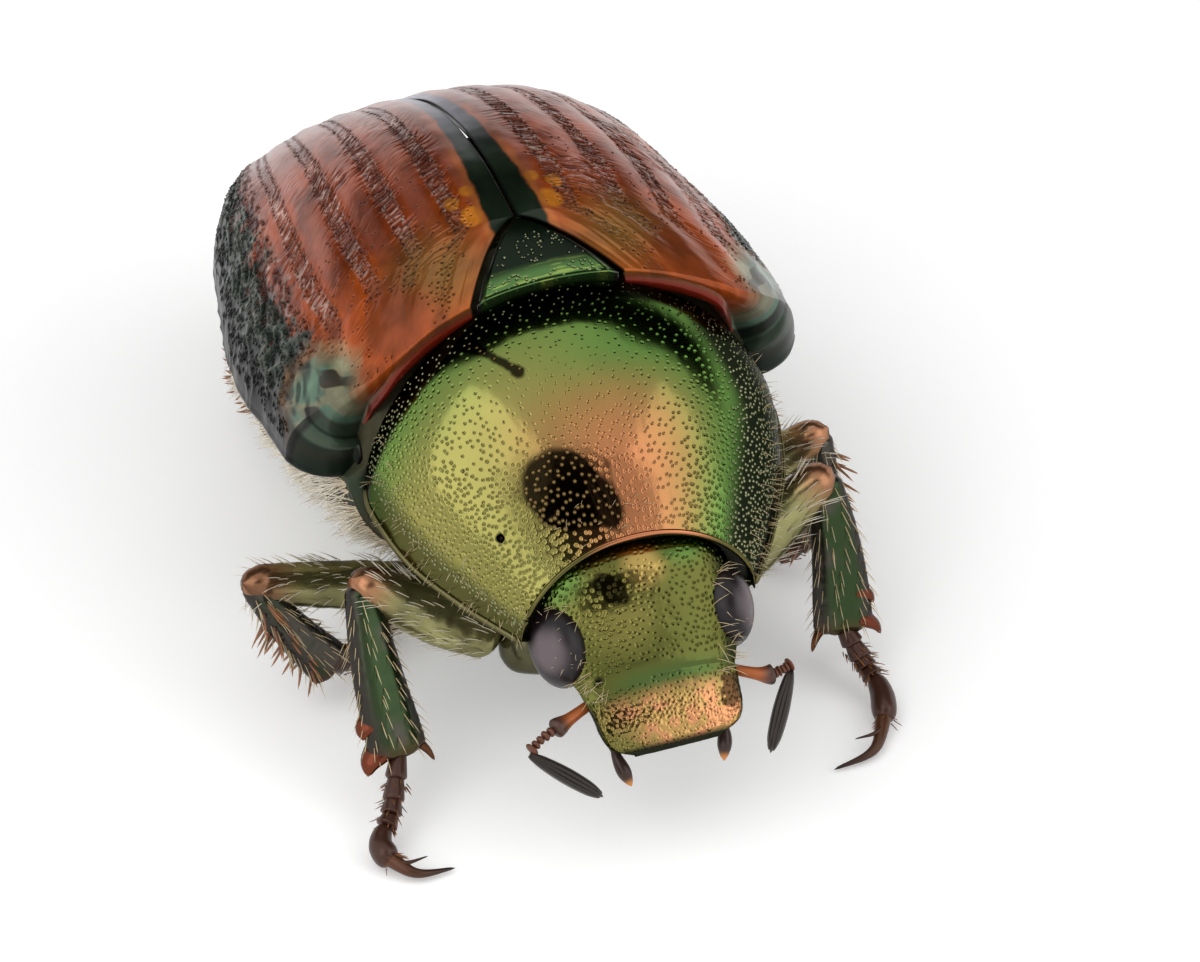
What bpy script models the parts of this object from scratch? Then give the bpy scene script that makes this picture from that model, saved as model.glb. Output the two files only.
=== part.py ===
"""A Japanese beetle as a still, life-size model, standing on its six feet.

Every size below is in millimetres. The shapes are made at that scale, and place_all() turns them into
metres at the end. +X is the beetle's left, -Y is forward, +Z is up, and the floor is at Z 0.
"""

import math

import bmesh
import bpy
import numpy as np
from mathutils import Matrix, Vector

MM = 0.001
GAP = 0.1  # the thin cut between neighbouring solids
FORM = "_form"  # ends the name of a node's mesh as it was before any cut
MOST_SHELL = 1.6  # how far a cutter's sharp corner may run out, in cuts
SLIVERS = (0.004, 0.0015, 0.0004)  # points that a cut leaves nearer than this become one
SIDES = {"left": 1.0, "right": -1.0}

# The hind body: elytra outside, thorax and abdomen inside them.
HIND_FRONT_Y = -1.5  # where the pronotum's hind edge crosses the midline
HIND_BOW = 0.55  # how far that edge runs forward at the sides
SHOULDER_TURN = 0.85  # how fast the elytra's own corners draw back from it
TURN_FROM = 2.05
ELYTRA_END_Y = 4.25
ELYTRA_END_Z = 3.0
ELYTRA_END_ROUNDING = 0.47
HIND_HALF_WIDTH = 3.12
HIND_CREST_Z = 5.19
SHOULDER_CREST_Z = 4.98
CREST_AT = 0.26
ELYTRON_THICKNESS = 0.5

# The prothorax.
PRONOTUM_HALF_WIDTH = 2.46
PRONOTUM_FRONT_HALF_WIDTH = 1.42
PRONOTUM_FRONT_Y = -4.3
PRONOTUM_FRONT_CORNER_Y = -4.5

# The scutellum's triangle.
SCUTELLUM_HALF_WIDTH = 0.9
SCUTELLUM_TIP_Y = -0.53

# The head lies in its own sloping frame: x across, u down the face, w out of the face.
HEAD_ORIGIN = Vector((0.0, -4.32, 3.42))
FACE_SLOPE = math.radians(51.0)
FACE_LENGTH = 2.37
EYE_CENTRE = Vector((1.0, 0.98, -0.42))
EYE_RADII = Vector((0.33, 0.5, 0.46))


def clear_scene():
    for obj in list(bpy.data.objects):
        bpy.data.objects.remove(obj, do_unlink=True)


def material(name, colour, roughness, metallic):
    made = bpy.data.materials.new(name)
    made.use_nodes = True
    shader = made.node_tree.nodes["Principled BSDF"]
    shader.inputs["Base Color"].default_value = (*colour, 1.0)
    shader.inputs["Roughness"].default_value = roughness
    shader.inputs["Metallic"].default_value = metallic
    return made


def make_materials():
    return {
        "green_cuticle": material("green_cuticle", (0.24, 0.36, 0.09), 0.3, 0.8),
        "elytra_brown": material("elytra_brown", (0.36, 0.12, 0.05), 0.3, 0.2),
        "dark_cuticle": material("dark_cuticle", (0.07, 0.05, 0.035), 0.4, 0.2),
        "leg_green": material("leg_green", (0.11, 0.19, 0.07), 0.35, 0.6),
        "tarsus_brown": material("tarsus_brown", (0.10, 0.05, 0.035), 0.35, 0.1),
        "eye_black": material("eye_black", (0.05, 0.04, 0.045), 0.25, 0.0),
    }


def new_object(name, verts, faces):
    mesh = bpy.data.meshes.new(name)
    mesh.from_pydata([tuple(v) for v in verts], [], [tuple(f) for f in faces])
    mesh.validate()
    body = bmesh.new()
    body.from_mesh(mesh)
    bmesh.ops.recalc_face_normals(body, faces=body.faces)
    body.to_mesh(mesh)
    body.free()
    obj = bpy.data.objects.new(name, mesh)
    bpy.context.scene.collection.objects.link(obj)
    mesh.copy().name = name + FORM
    return obj


def loft(name, rings):
    """One closed body through rings of equally many points, each end closed by a fan."""
    count = len(rings[0])
    verts = [p for ring in rings for p in ring]
    faces = []
    for i in range(len(rings) - 1):
        for j in range(count):
            a, b = i * count + j, i * count + (j + 1) % count
            faces += [(a, b, b + count), (a, b + count, a + count)]
    for first, ring in ((0, rings[0]), ((len(rings) - 1) * count, rings[-1])):
        centre = len(verts)
        verts.append(np.mean(np.array(ring, float), axis=0))
        faces += [(first + j, first + (j + 1) % count, centre) for j in range(count)]
    return new_object(name, verts, faces)


def largest_closed(mesh, weld):
    """The mesh welded, with only its largest closed surface kept, or None where that isn't closed."""
    body = bmesh.new()
    body.from_mesh(mesh)
    bmesh.ops.remove_doubles(body, verts=body.verts, dist=weld)
    bmesh.ops.dissolve_degenerate(body, dist=weld / 4, edges=body.edges)
    bmesh.ops.triangulate(body, faces=body.faces)
    unseen, groups = set(body.verts), []
    while unseen:
        stack, group = [unseen.pop()], []
        while stack:
            vert = stack.pop()
            group.append(vert)
            for edge in vert.link_edges:
                other = edge.other_vert(vert)
                if other in unseen:
                    unseen.discard(other)
                    stack.append(other)
        groups.append(group)

    def volume(group):
        faces = {face for vert in group for face in vert.link_faces}
        corners = ([v.co for v in face.verts] for face in faces)
        return sum(a.dot(b.cross(c)) for a, b, c in corners) / 6.0

    groups.sort(key=volume)
    for group in groups[:-1]:
        bmesh.ops.delete(body, geom=group, context="VERTS")
    closed = bool(body.faces) and all(edge.is_manifold for edge in body.edges)
    closed = closed and all(vert.is_manifold for vert in body.verts)
    found = mesh.copy() if closed else None
    if closed:
        body.to_mesh(found)
    body.free()
    return found


def cut_with(obj, operation, other):
    """Cuts or joins obj with other. A cut that leaves an open mesh is made again in another way."""
    for solver in ("EXACT", "MANIFOLD"):
        step = obj.modifiers.new("cut", "BOOLEAN")
        step.operation = operation
        step.solver = solver
        step.object = other
        bpy.context.view_layer.update()
        graph = bpy.context.evaluated_depsgraph_get()
        made = bpy.data.meshes.new_from_object(obj.evaluated_get(graph))
        obj.modifiers.remove(step)
        for weld in SLIVERS:
            found = largest_closed(made, weld)
            if found:
                obj.data = found
                return
    raise ValueError(f"{obj.name} and {other.name} leave no closed solid")


def grown(obj, by):
    """The solid's uncut form, swollen by that much, for cutting its neighbours clear of it."""
    copy = bpy.data.objects.new(obj.name + "_cutter", bpy.data.meshes[obj.name + FORM].copy())
    bpy.context.scene.collection.objects.link(copy)
    body = bmesh.new()
    body.from_mesh(copy.data)
    body.normal_update()
    for vert in body.verts:
        vert.co += vert.normal * by * min(vert.calc_shell_factor(), MOST_SHELL)
    body.to_mesh(copy.data)
    body.free()
    return copy


def cut_clear(obj, *neighbours, gap=GAP):
    """Cuts obj back so that it meets each neighbour face to face across the thin cut."""
    for neighbour in neighbours:
        cutter = grown(neighbour, gap)
        cut_with(obj, "DIFFERENCE", cutter)
        bpy.data.objects.remove(cutter, do_unlink=True)
    return obj


def fuse(obj, pieces):
    """Joins each piece to obj, so that they are one closed body."""
    for piece in pieces:
        cut_with(obj, "UNION", piece)
        bpy.data.objects.remove(piece, do_unlink=True)
    return obj


def flatten_foot(obj):
    """Presses whatever reaches below the floor flat onto it."""
    for vert in obj.data.vertices:
        vert.co.z = max(vert.co.z, 0.0)


def mix(a, b, t):
    return a + (b - a) * t


def dome(r, power, root):
    """The height of a rounded arch at r, from 1 at the middle to 0 at either side."""
    return max(0.0, 1.0 - abs(r) ** power) ** (1.0 / root)


def along(stops, t):
    """A smooth curve through (t, value) stops."""
    places = [s[0] for s in stops]
    values = [s[1] for s in stops]
    if t <= places[0]:
        return values[0]
    for i in range(len(stops) - 1):
        if t <= places[i + 1]:
            low, high = max(i - 1, 0), min(i + 2, len(stops) - 1)
            span = places[i + 1] - places[i]
            k = (t - places[i]) / span
            rise_a = (values[i + 1] - values[low]) / (places[i + 1] - places[low]) * span
            rise_b = (values[high] - values[i]) / (places[high] - places[i]) * span
            return (
                (2 * k**3 - 3 * k**2 + 1) * values[i]
                + (k**3 - 2 * k**2 + k) * rise_a
                + (-2 * k**3 + 3 * k**2) * values[i + 1]
                + (k**3 - k**2) * rise_b
            )
    return values[-1]


# The hind body's outer form, shared by the elytra, the scutellum and the core inside them.


def hind_half_width(s):
    fore = [(0.0, 1.0), (0.12, 1.0), (0.33, 1.0), (0.55, 0.933)]
    rear = [(0.8, 0.823), (0.9, 0.749), (1.0, 0.655), (1.12, 0.5)]
    return HIND_HALF_WIDTH * along(fore + rear, s)


def hind_crest(s):
    if s < CREST_AT:
        k = (CREST_AT - s) / CREST_AT
        return HIND_CREST_Z - (HIND_CREST_Z - SHOULDER_CREST_Z) * k * k
    k = (s - CREST_AT) / (1.0 - CREST_AT)
    return HIND_CREST_Z - (HIND_CREST_Z - ELYTRA_END_Z) * k**2.2


def hind_margin(s):
    return along([(0.0, 3.14), (0.3, 2.86), (0.65, 2.6), (1.0, 2.57)], s)


def base_y(x):
    """The line along which the pronotum meets the hind body."""
    return HIND_FRONT_Y - HIND_BOW * (x / PRONOTUM_HALF_WIDTH) ** 2


def hind_front_y(r, inset=0.0):
    x = (hind_half_width(0.0) - inset) * abs(r)
    turn = max(0.0, x - TURN_FROM)
    return base_y(x) + SHOULDER_TURN * turn * turn


def hind_end_y(r):
    return ELYTRA_END_Y - ELYTRA_END_ROUNDING * abs(r) ** 2.2


def hind_y(s, r, inset):
    return mix(hind_front_y(r, inset) + GAP, hind_end_y(r) - inset, s)


def hind_point(s, r, inset):
    """A point on the hind body's back: s from front to rear, r from -1 to 1 across."""
    margin = hind_margin(s)
    crest = hind_crest(s) - inset
    width = hind_half_width(s) - inset
    power = along([(0.0, 2.2), (0.5, 2.54), (1.0, 3.27)], s)
    root = along([(0.0, 2.14), (0.5, 1.62), (1.0, 2.5)], s)
    rise = (crest - margin) * dome(r, power, root)
    return Vector((width * r, hind_y(s, r, inset), margin + rise))


def hind_share(x, y):
    """The (s, r) at which the back lies over a place x, y."""
    s = 0.2
    r = 0.0
    for _ in range(12):
        r = x / hind_half_width(s)
        front = hind_front_y(r) + GAP
        s = min(max((y - front) / (hind_end_y(r) - front), 0.0), 1.0)
    return s, r


def scutellum_half_width(y):
    """Half the scutellum's width, 0 past its tip."""
    k = (SCUTELLUM_TIP_Y - y) / (SCUTELLUM_TIP_Y - HIND_FRONT_Y)
    return SCUTELLUM_HALF_WIDTH * min(k, 1.0) ** 0.72 if k > 0 else 0.0


ELYTRON_ROWS = 16
RIBS = 6
ELYTRON_COLUMNS = RIBS * 4
RIB_HEIGHT = 0.05


def rib(s, column):
    """How far the ribs stand out: full over the middle, none at the front, the rear and the edge."""
    fade = min(s / 0.15, (1.0 - s) / 0.12, (ELYTRON_COLUMNS - column) / 3.0, 1.0)
    return -RIB_HEIGHT * math.cos(2 * math.pi * column / 4) * max(fade, 0.0)


def make_elytron(side):
    """One wing case: an outer sheet, the same sheet set in by its thickness, and the rim between."""
    sign = SIDES[side]
    sheets = []
    for inset in (0.0, ELYTRON_THICKNESS):
        sheet = []
        for i in range(ELYTRON_ROWS + 1):
            s = (i / ELYTRON_ROWS) ** 1.25
            inner = GAP / 2
            if hind_y(s, 0.0, 0.0) < SCUTELLUM_TIP_Y + GAP:
                inner += scutellum_half_width(hind_y(s, 0.0, 0.0) - GAP)
            start = inner / (hind_half_width(s) - inset)
            for j in range(ELYTRON_COLUMNS + 1):
                r = mix(start, 1.0, 1.0 - (1.0 - j / ELYTRON_COLUMNS) ** 1.25)
                p = hind_point(s, r, inset)
                if inset == 0.0:
                    out = Vector((p.x, 0.0, p.z - hind_margin(s) + 1.0)).normalized()
                    p += out * rib(s, j)
                sheet.append(Vector((sign * p.x, p.y, p.z)))
        sheets.append(sheet)
    wide = ELYTRON_COLUMNS + 1
    under = len(sheets[0])
    faces = []
    for i in range(ELYTRON_ROWS):
        for j in range(ELYTRON_COLUMNS):
            a = i * wide + j
            for b in (a, a + under):
                faces += [(b, b + 1, b + wide + 1), (b, b + wide + 1, b + wide)]
    rim = [(0, j) for j in range(wide)]
    rim += [(i, wide - 1) for i in range(1, ELYTRON_ROWS + 1)]
    rim += [(ELYTRON_ROWS, j) for j in range(wide - 2, -1, -1)]
    rim += [(i, 0) for i in range(ELYTRON_ROWS - 1, 0, -1)]
    loop = [i * wide + j for i, j in rim]
    for a, b in zip(loop, loop[1:] + loop[:1]):
        faces += [(a, b, b + under), (a, b + under, a + under)]
    return new_object(f"elytron_{side}", sheets[0] + sheets[1], faces)


def make_scutellum():
    rows, columns = 6, 6
    top, bottom = [], []
    for i in range(rows + 1):
        y = mix(hind_front_y(0.0) + GAP, SCUTELLUM_TIP_Y - 0.04, i / rows)
        half = max(scutellum_half_width(y), 0.05)
        for j in range(columns + 1):
            x = half * (2.0 * j / columns - 1.0)
            s, r = hind_share(x, y)
            p = hind_point(s, r, 0.0)
            place = Vector((x, y + (base_y(x) - HIND_FRONT_Y) * (1 - i / rows), p.z))
            top.append(place)
            bottom.append(place - Vector((0.0, 0.0, ELYTRON_THICKNESS)))
    wide, under = columns + 1, len(top)
    faces = []
    for i in range(rows):
        for j in range(columns):
            a = i * wide + j
            for b in (a, a + under):
                faces += [(b, b + 1, b + wide + 1), (b, b + wide + 1, b + wide)]
    loop = list(range(columns))
    loop += [i * wide + columns for i in range(rows)]
    loop += [rows * wide + j for j in range(columns, 0, -1)]
    loop += [i * wide for i in range(rows, 0, -1)]
    for a, b in zip(loop, loop[1:] + loop[:1]):
        faces += [(a, b, b + under), (a, b + under, a + under)]
    return new_object("scutellum", top + bottom, faces)


def belly_z(s):
    return along([(0.0, 0.95), (0.12, 0.74), (0.4, 0.72), (0.7, 0.86), (1.0, 1.1)], s)


CORE_INSET = ELYTRON_THICKNESS + GAP * 2  # measured upwards, so it leaves one GAP on the slopes
THORAX_END = 0.44  # the share of the hind body that is thorax
ABDOMEN_END = 0.92
UPRIGHT_FROM = 0.3
LEDGE_DROP = 0.12
PYGIDIUM_DEPTH = 1.25
SIDE_TUFTS = 5
TUFT_LENGTH = 0.45
PYGIDIUM_DROP = 0.7
LEDGE_INSETS = (0.5, 0.25)  # how far the belly's side stands inside the elytra's edge, front and rear
ACROSS = 14  # points across the back, and one more below


def core_point(s, r, upright):
    """The (share, y) of a core ring's point: the ring bows with the body's front, or stands upright."""
    front, end = hind_front_y(r, CORE_INSET) + GAP, hind_end_y(r) - CORE_INSET
    flat = mix(HIND_FRONT_Y + GAP, ELYTRA_END_Y - CORE_INSET, s)
    y = mix(mix(front, end, s), flat, upright)
    return min((y - front) / (end - front), 1.12), y


def core_ring(s):
    """A ring round the thorax or abdomen: over the back, then round the wider part below."""
    upright = min(s / UPRIGHT_FROM, 1.0)
    ring = []
    for j in range(ACROSS + 1):
        r = math.cos(math.pi * j / ACROSS)
        share, y = core_point(s, r, upright)
        p = hind_point(share, r, CORE_INSET)
        ring.append(Vector((p.x, y, p.z)))
    low = belly_z(s)
    for j in range(ACROSS + 1):
        r = -math.cos(math.pi * j / ACROSS)
        share, y = core_point(s, r, upright)
        side_share = core_point(s, 1.0, upright)[0]
        margin = hind_margin(side_share) - LEDGE_DROP
        width = hind_half_width(side_share) - mix(*LEDGE_INSETS, min(s / THORAX_END, 1.0))
        z = margin - (margin - low) * dome(r, 2.3, 1.7)
        ring.append(Vector((width * r, y, z)))
    return ring


def make_hind_thorax():
    return loft("hind_thorax", [core_ring(mix(0.0, THORAX_END, i / 8)) for i in range(9)])


def make_abdomen():
    step = GAP / (ELYTRA_END_Y - CORE_INSET - HIND_FRONT_Y)
    rings = [core_ring(mix(THORAX_END + step, ABDOMEN_END, i / 9)) for i in range(10)]
    return loft("abdomen", rings)


def make_pygidium():
    """The last plate, a shield that bulges back and down behind the elytra."""
    ring = core_ring(ABDOMEN_END)
    centre = sum(ring, Vector()) / len(ring) + Vector((0.0, GAP, -0.18))
    first = [centre + (p + Vector((0.0, GAP, 0.0)) - centre) * 0.88 for p in ring]
    rings = [first]
    for k in (0.25, 0.5, 0.75, 0.92):
        a = k * math.pi / 2
        out = Vector((0.0, PYGIDIUM_DEPTH * math.sin(a), -PYGIDIUM_DROP * math.sin(a)))
        rings.append([centre + (p - centre) * math.cos(a) ** 0.8 + out for p in first])
    return loft("pygidium", rings)


def make_locks(name, root, out, count, length, spread):
    """A tuft: a few bending locks that fan out from one root."""
    locks = []
    side = out.cross(Vector((0.0, 0.0, 1.0))).normalized()
    for k in range(count):
        share = k / (count - 1) * 2.0 - 1.0
        start = root + side * share * spread - out * 0.12
        way = (out + side * share * 0.35).normalized()
        middle = start + way * length * 0.5 + Vector((0.0, 0.0, -0.03))
        late = start + way * length * 0.85 + Vector((0.0, 0.04, -0.12))
        tip = start + way * length * 1.1 + Vector((0.0, 0.08, -0.24))
        locks.append(cone(f"{name}_{k}", (start, middle, late, tip), (0.14, 0.12, 0.07), sides=5))
    return locks


def add_side_tufts(abdomen):
    """Five tufts along each side, under the wing case's edge."""
    locks = []
    for side, sign in SIDES.items():
        for k in range(SIDE_TUFTS):
            s = mix(0.5, 0.86, k / (SIDE_TUFTS - 1))
            ring = core_ring(s)
            p = ring[-3]
            root = Vector((sign * abs(p.x), p.y, p.z))
            out = Vector((sign * 0.75, 0.3, -0.75)).normalized()
            locks += make_locks(f"tuft_{side}_{k}", root, out, 2, TUFT_LENGTH * 0.8, 0.09)
    fuse(abdomen, locks)


def add_rear_tufts(pygidium):
    """The two round tufts at the shield's upper corners."""
    locks = []
    for sign in SIDES.values():
        root = Vector((sign * 0.62, 3.98, 1.95))
        out = Vector((sign * 0.25, 1.0, 0.1)).normalized()
        locks += make_locks(f"rear_tuft_{sign}", root, out, 3, TUFT_LENGTH, 0.16)
    fuse(pygidium, locks)


# The prothorax: a dome with a straight fall at the sides and a hollow-sided underside.


def pronotum_half_width(s):
    front = PRONOTUM_FRONT_HALF_WIDTH
    return along([(0.0, 2.40), (0.14, PRONOTUM_HALF_WIDTH), (0.45, 2.27), (0.75, 1.86), (1.0, front)], s)


def pronotum_margin(s):
    return along([(0.0, 3.08), (0.25, 2.92), (0.5, 2.74), (1.0, 2.48)], s)


def pronotum_crest(s):
    return along([(0.0, 4.92), (0.25, 4.90), (0.5, 4.62), (0.75, 4.15), (1.0, 3.5)], s)


def pronotum_y(s, r):
    front = mix(PRONOTUM_FRONT_Y, PRONOTUM_FRONT_CORNER_Y, r * r)
    return mix(base_y(pronotum_half_width(0.0) * r), front, s)


def pronotum_floor(s):
    return along([(0.0, 1.25), (0.3, 1.1), (0.7, 1.2), (1.0, 1.55)], s)


PRONOTUM_ACROSS = 18


def pronotum_ring(s):
    width, margin, crest = pronotum_half_width(s), pronotum_margin(s), pronotum_crest(s)
    low = pronotum_floor(s)
    ring = []
    for j in range(PRONOTUM_ACROSS):
        r = math.cos(math.pi * j / PRONOTUM_ACROSS)
        ring.append(Vector((width * r, pronotum_y(s, r), margin + (crest - margin) * dome(r, 2.2, 1.85))))
    for j in range(PRONOTUM_ACROSS):
        r = -math.cos(math.pi * j / PRONOTUM_ACROSS)
        fall = (1.0 - abs(r) ** 1.3) ** 1.15
        ring.append(Vector((width * r, pronotum_y(s, r), margin - (margin - low) * fall)))
    return ring


def make_pronotum():
    return loft("pronotum", [pronotum_ring(i / 14) for i in range(15)])


# The head.


def from_head(x, u, w):
    down = Vector((0.0, -math.cos(FACE_SLOPE), -math.sin(FACE_SLOPE)))
    out = Vector((0.0, -math.sin(FACE_SLOPE), math.cos(FACE_SLOPE)))
    return HEAD_ORIGIN + Vector((x, 0.0, 0.0)) + down * u + out * w


HEAD_STOPS = (
    # u, half width, margin w, crown height, depth below the margin
    (-0.75, 0.78, -1.05, 0.30, 0.50),
    (-0.35, 0.96, -0.84, 0.36, 0.66),
    (0.00, 1.06, -0.56, 0.40, 0.80),
    (0.25, 1.12, -0.40, 0.40, 0.90),
    (0.60, 1.14, -0.34, 0.38, 0.98),
    (1.00, 1.12, -0.30, 0.34, 1.00),
    (1.35, 1.03, -0.24, 0.27, 0.92),
    (1.55, 0.94, -0.18, 0.20, 0.75),
    (1.80, 0.89, -0.12, 0.13, 0.52),
    (2.05, 0.86, -0.06, 0.08, 0.46),
    (2.20, 0.84, -0.04, 0.05, 0.45),
    (2.31, 0.76, -0.04, 0.04, 0.44),
    (FACE_LENGTH, 0.60, -0.05, 0.03, 0.42),
)
HEAD_ACROSS = 12


def make_head():
    rings = []
    for u, half, margin, crown, depth in HEAD_STOPS:
        ring = []
        for j in range(HEAD_ACROSS):
            r = math.cos(math.pi * j / HEAD_ACROSS)
            ring.append(from_head(half * r, u, margin + crown * dome(r, 2.6, 1.5)))
        for j in range(HEAD_ACROSS):
            r = -math.cos(math.pi * j / HEAD_ACROSS)
            ring.append(from_head(half * r, u, margin - depth * dome(r, 2.4, 2.0)))
        rings.append(ring)
    return loft("head", rings)


def make_eye(side):
    sign = SIDES[side]
    rings = []
    for i in range(1, 9):
        a = math.pi * i / 9
        ring = []
        for j in range(14):
            b = 2 * math.pi * j / 14
            x = sign * (EYE_CENTRE.x + EYE_RADII.x * math.cos(a))
            u = EYE_CENTRE.y + EYE_RADII.y * math.sin(a) * math.cos(b)
            w = EYE_CENTRE.z + EYE_RADII.z * math.sin(a) * math.sin(b)
            ring.append(from_head(x, u, w))
        rings.append(ring)
    return loft(f"eye_{side}", rings)


# Limbs: tubes of oval section along a bent line.


def tube(name, path, widths, heights, across, sides=8, cap=0.5, groove=0.0):
    """A tube along path. At each point its half width lies towards across and its half height
    square to that. Each end is rounded by a smaller ring, cap half heights further out. A groove
    cuts four lengthwise furrows that deep, as a share, so that the tube reads as three leaves."""
    path = [Vector(p) for p in path]
    count = len(path)
    rings = []
    for i, centre in enumerate(path):
        ahead = path[min(i + 1, count - 1)] - path[max(i - 1, 0)]
        ahead.normalize()
        side = Vector(across) - ahead * Vector(across).dot(ahead)
        side.normalize()
        up = ahead.cross(side)
        ends = [(centre, 1.0)]
        if i == 0:
            ends.insert(0, (centre - ahead * heights[0] * cap, 0.62))
        if i == count - 1:
            ends.append((centre + ahead * heights[-1] * cap, 0.62))
        for at, size in ends:
            ring = []
            for j in range(sides):
                a = 2 * math.pi * (j + 0.5) / sides
                dip = 1.0 - groove * (abs(abs(math.cos(a)) - 0.38) < 0.1)
                out = side * (math.cos(a) * widths[i] * size)
                ring.append(at + out + up * (math.sin(a) * heights[i] * size * dip))
            rings.append(ring)
    return loft(name, rings)


def cone(name, path, radii, sides=5, flat=1.0):
    """A bent cone: a ring at each point of path but the last, which is its tip."""
    path = [Vector(p) for p in path]
    verts, faces = [], []
    side = (path[1] - path[0]).orthogonal()
    for i, centre in enumerate(path[:-1]):
        ahead = (path[i + 1] - path[max(i - 1, 0)]).normalized()
        side = (side - ahead * side.dot(ahead)).normalized()
        up = ahead.cross(side)
        for j in range(sides):
            a = 2 * math.pi * j / sides
            verts.append(centre + (side * math.cos(a) + up * math.sin(a) * flat) * radii[i])
    verts += [path[0], path[-1]]
    base, tip = len(verts) - 2, len(verts) - 1
    for i in range(len(path) - 2):
        for j in range(sides):
            a, b = i * sides + j, i * sides + (j + 1) % sides
            faces += [(a, b, b + sides), (a, b + sides, a + sides)]
    last = (len(path) - 2) * sides
    for j in range(sides):
        following = (j + 1) % sides
        faces += [(following, j, base), (last + j, last + following, tip)]
    return new_object(name, verts, faces)


def curve_through(points, count):
    """Evenly numbered points on a smooth line through the given ones."""
    last = len(points) - 1
    stops = [[(i, p[axis]) for i, p in enumerate(points)] for axis in range(3)]
    return [Vector([along(stops[axis], last * k / (count - 1)) for axis in range(3)]) for k in range(count)]


def straight(start, end, shares):
    start, end = Vector(start), Vector(end)
    return [start.lerp(end, k) for k in shares]


# Each leg: where its coxa lies, its femur's root, its knee and its ankle, then its toe's line.
LEGS = {
    "front_right": {
        "coxa": ((-0.45, -3.45, 1.3), (-1.25, -3.3, 1.42)),
        "knee": (-2.78, -2.86, 2.42),
        "ankle": (-2.72, -4.07, 0.70),
        "toe": ((-2.72, -4.12, 0.62), (-3.0, -4.54, 0.38), (-3.24, -4.84, 0.23), (-3.2, -5.16, 0.17)),
        "claw": ((-3.2, -5.16, 0.16), (-2.98, -5.34, 0.12), (-2.51, -5.34, 0.05)),
    },
    "front_left": {
        "coxa": ((0.45, -3.45, 1.3), (1.25, -3.35, 1.42)),
        "knee": (2.86, -2.95, 2.42),
        "ankle": (2.84, -3.76, 0.64),
        "toe": ((2.84, -3.82, 0.56), (2.99, -4.08, 0.36), (3.05, -4.43, 0.23), (2.92, -4.9, 0.17)),
        "claw": ((2.9, -4.92, 0.16), (2.66, -5.2, 0.12), (2.13, -5.29, 0.05)),
    },
    "mid_right": {
        "coxa": ((-0.55, -1.55, 0.78), (-1.55, -1.5, 0.86)),
        "knee": (-3.76, -1.9, 1.88),
        "ankle": (-2.84, -2.12, 0.46),
        "toe": ((-2.82, -2.1, 0.38), (-2.5, -1.85, 0.28), (-2.2, -1.62, 0.22), (-1.9, -1.42, 0.22)),
        "claw": ((-1.92, -1.44, 0.2), (-1.7, -1.28, 0.18), (-1.5, -1.05, 0.1)),
    },
    "mid_left": {
        "coxa": ((0.55, -1.55, 0.78), (1.5, -1.5, 0.86)),
        "knee": (3.3, -1.7, 1.88),
        "ankle": (3.12, -2.0, 0.46),
        "toe": ((3.08, -2.0, 0.38), (2.8, -1.85, 0.28), (2.5, -1.62, 0.22), (2.2, -1.42, 0.22)),
        "claw": ((2.22, -1.44, 0.2), (2.0, -1.28, 0.18), (1.8, -1.05, 0.1)),
    },
    "hind_right": {
        "coxa": ((-0.45, 0.2, 0.72), (-1.5, 0.3, 0.8)),
        "knee": (-2.3, 1.5, 1.12),
        "ankle": (-1.95, 3.1, 0.5),
        "toe": ((-1.93, 3.18, 0.42), (-1.85, 3.7, 0.28), (-1.75, 4.1, 0.22), (-1.65, 4.55, 0.22)),
        "claw": ((-1.66, 4.5, 0.2), (-1.58, 4.8, 0.18), (-1.45, 5.05, 0.1)),
    },
    "hind_left": {
        "coxa": ((0.45, 0.2, 0.72), (1.5, 0.3, 0.8)),
        "knee": (2.3, 1.5, 1.12),
        "ankle": (1.95, 3.1, 0.5),
        "toe": ((1.93, 3.18, 0.42), (1.85, 3.7, 0.28), (1.75, 4.1, 0.22), (1.65, 4.55, 0.22)),
        "claw": ((1.66, 4.5, 0.2), (1.58, 4.8, 0.18), (1.45, 5.05, 0.1)),
    },
}

LEG_SIZES = {
    # half widths and half heights of the femur and of the tibia, each from its root to its end
    "front": {"femur": ((0.3, 0.36, 0.3), 0.26), "tibia": ((0.24, 0.31, 0.33), 0.25)},
    "mid": {"femur": ((0.28, 0.31, 0.26), 0.25), "tibia": ((0.22, 0.27, 0.32), 0.25)},
    "hind": {"femur": ((0.3, 0.40, 0.3), 0.26), "tibia": ((0.22, 0.30, 0.36), 0.26)},
}
LEG_LOOKS = ("leg_green", "leg_green", "leg_green", "tarsus_brown")
SPINES = 9  # on each mid and hind tibia
TOE_HALF_WIDTHS = (0.17, 0.24, 0.19, 0.24, 0.19, 0.24, 0.2, 0.24, 0.26, 0.23, 0.2)
CLAW_RADII = (0.15, 0.14, 0.11, 0.07)
CLAW_SPREAD = 0.3
SPINE_LENGTH, SPINE_RADIUS = 0.36, 0.12
SPURS = {"front": 0.36, "mid": 0.5, "hind": 0.55}


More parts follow.
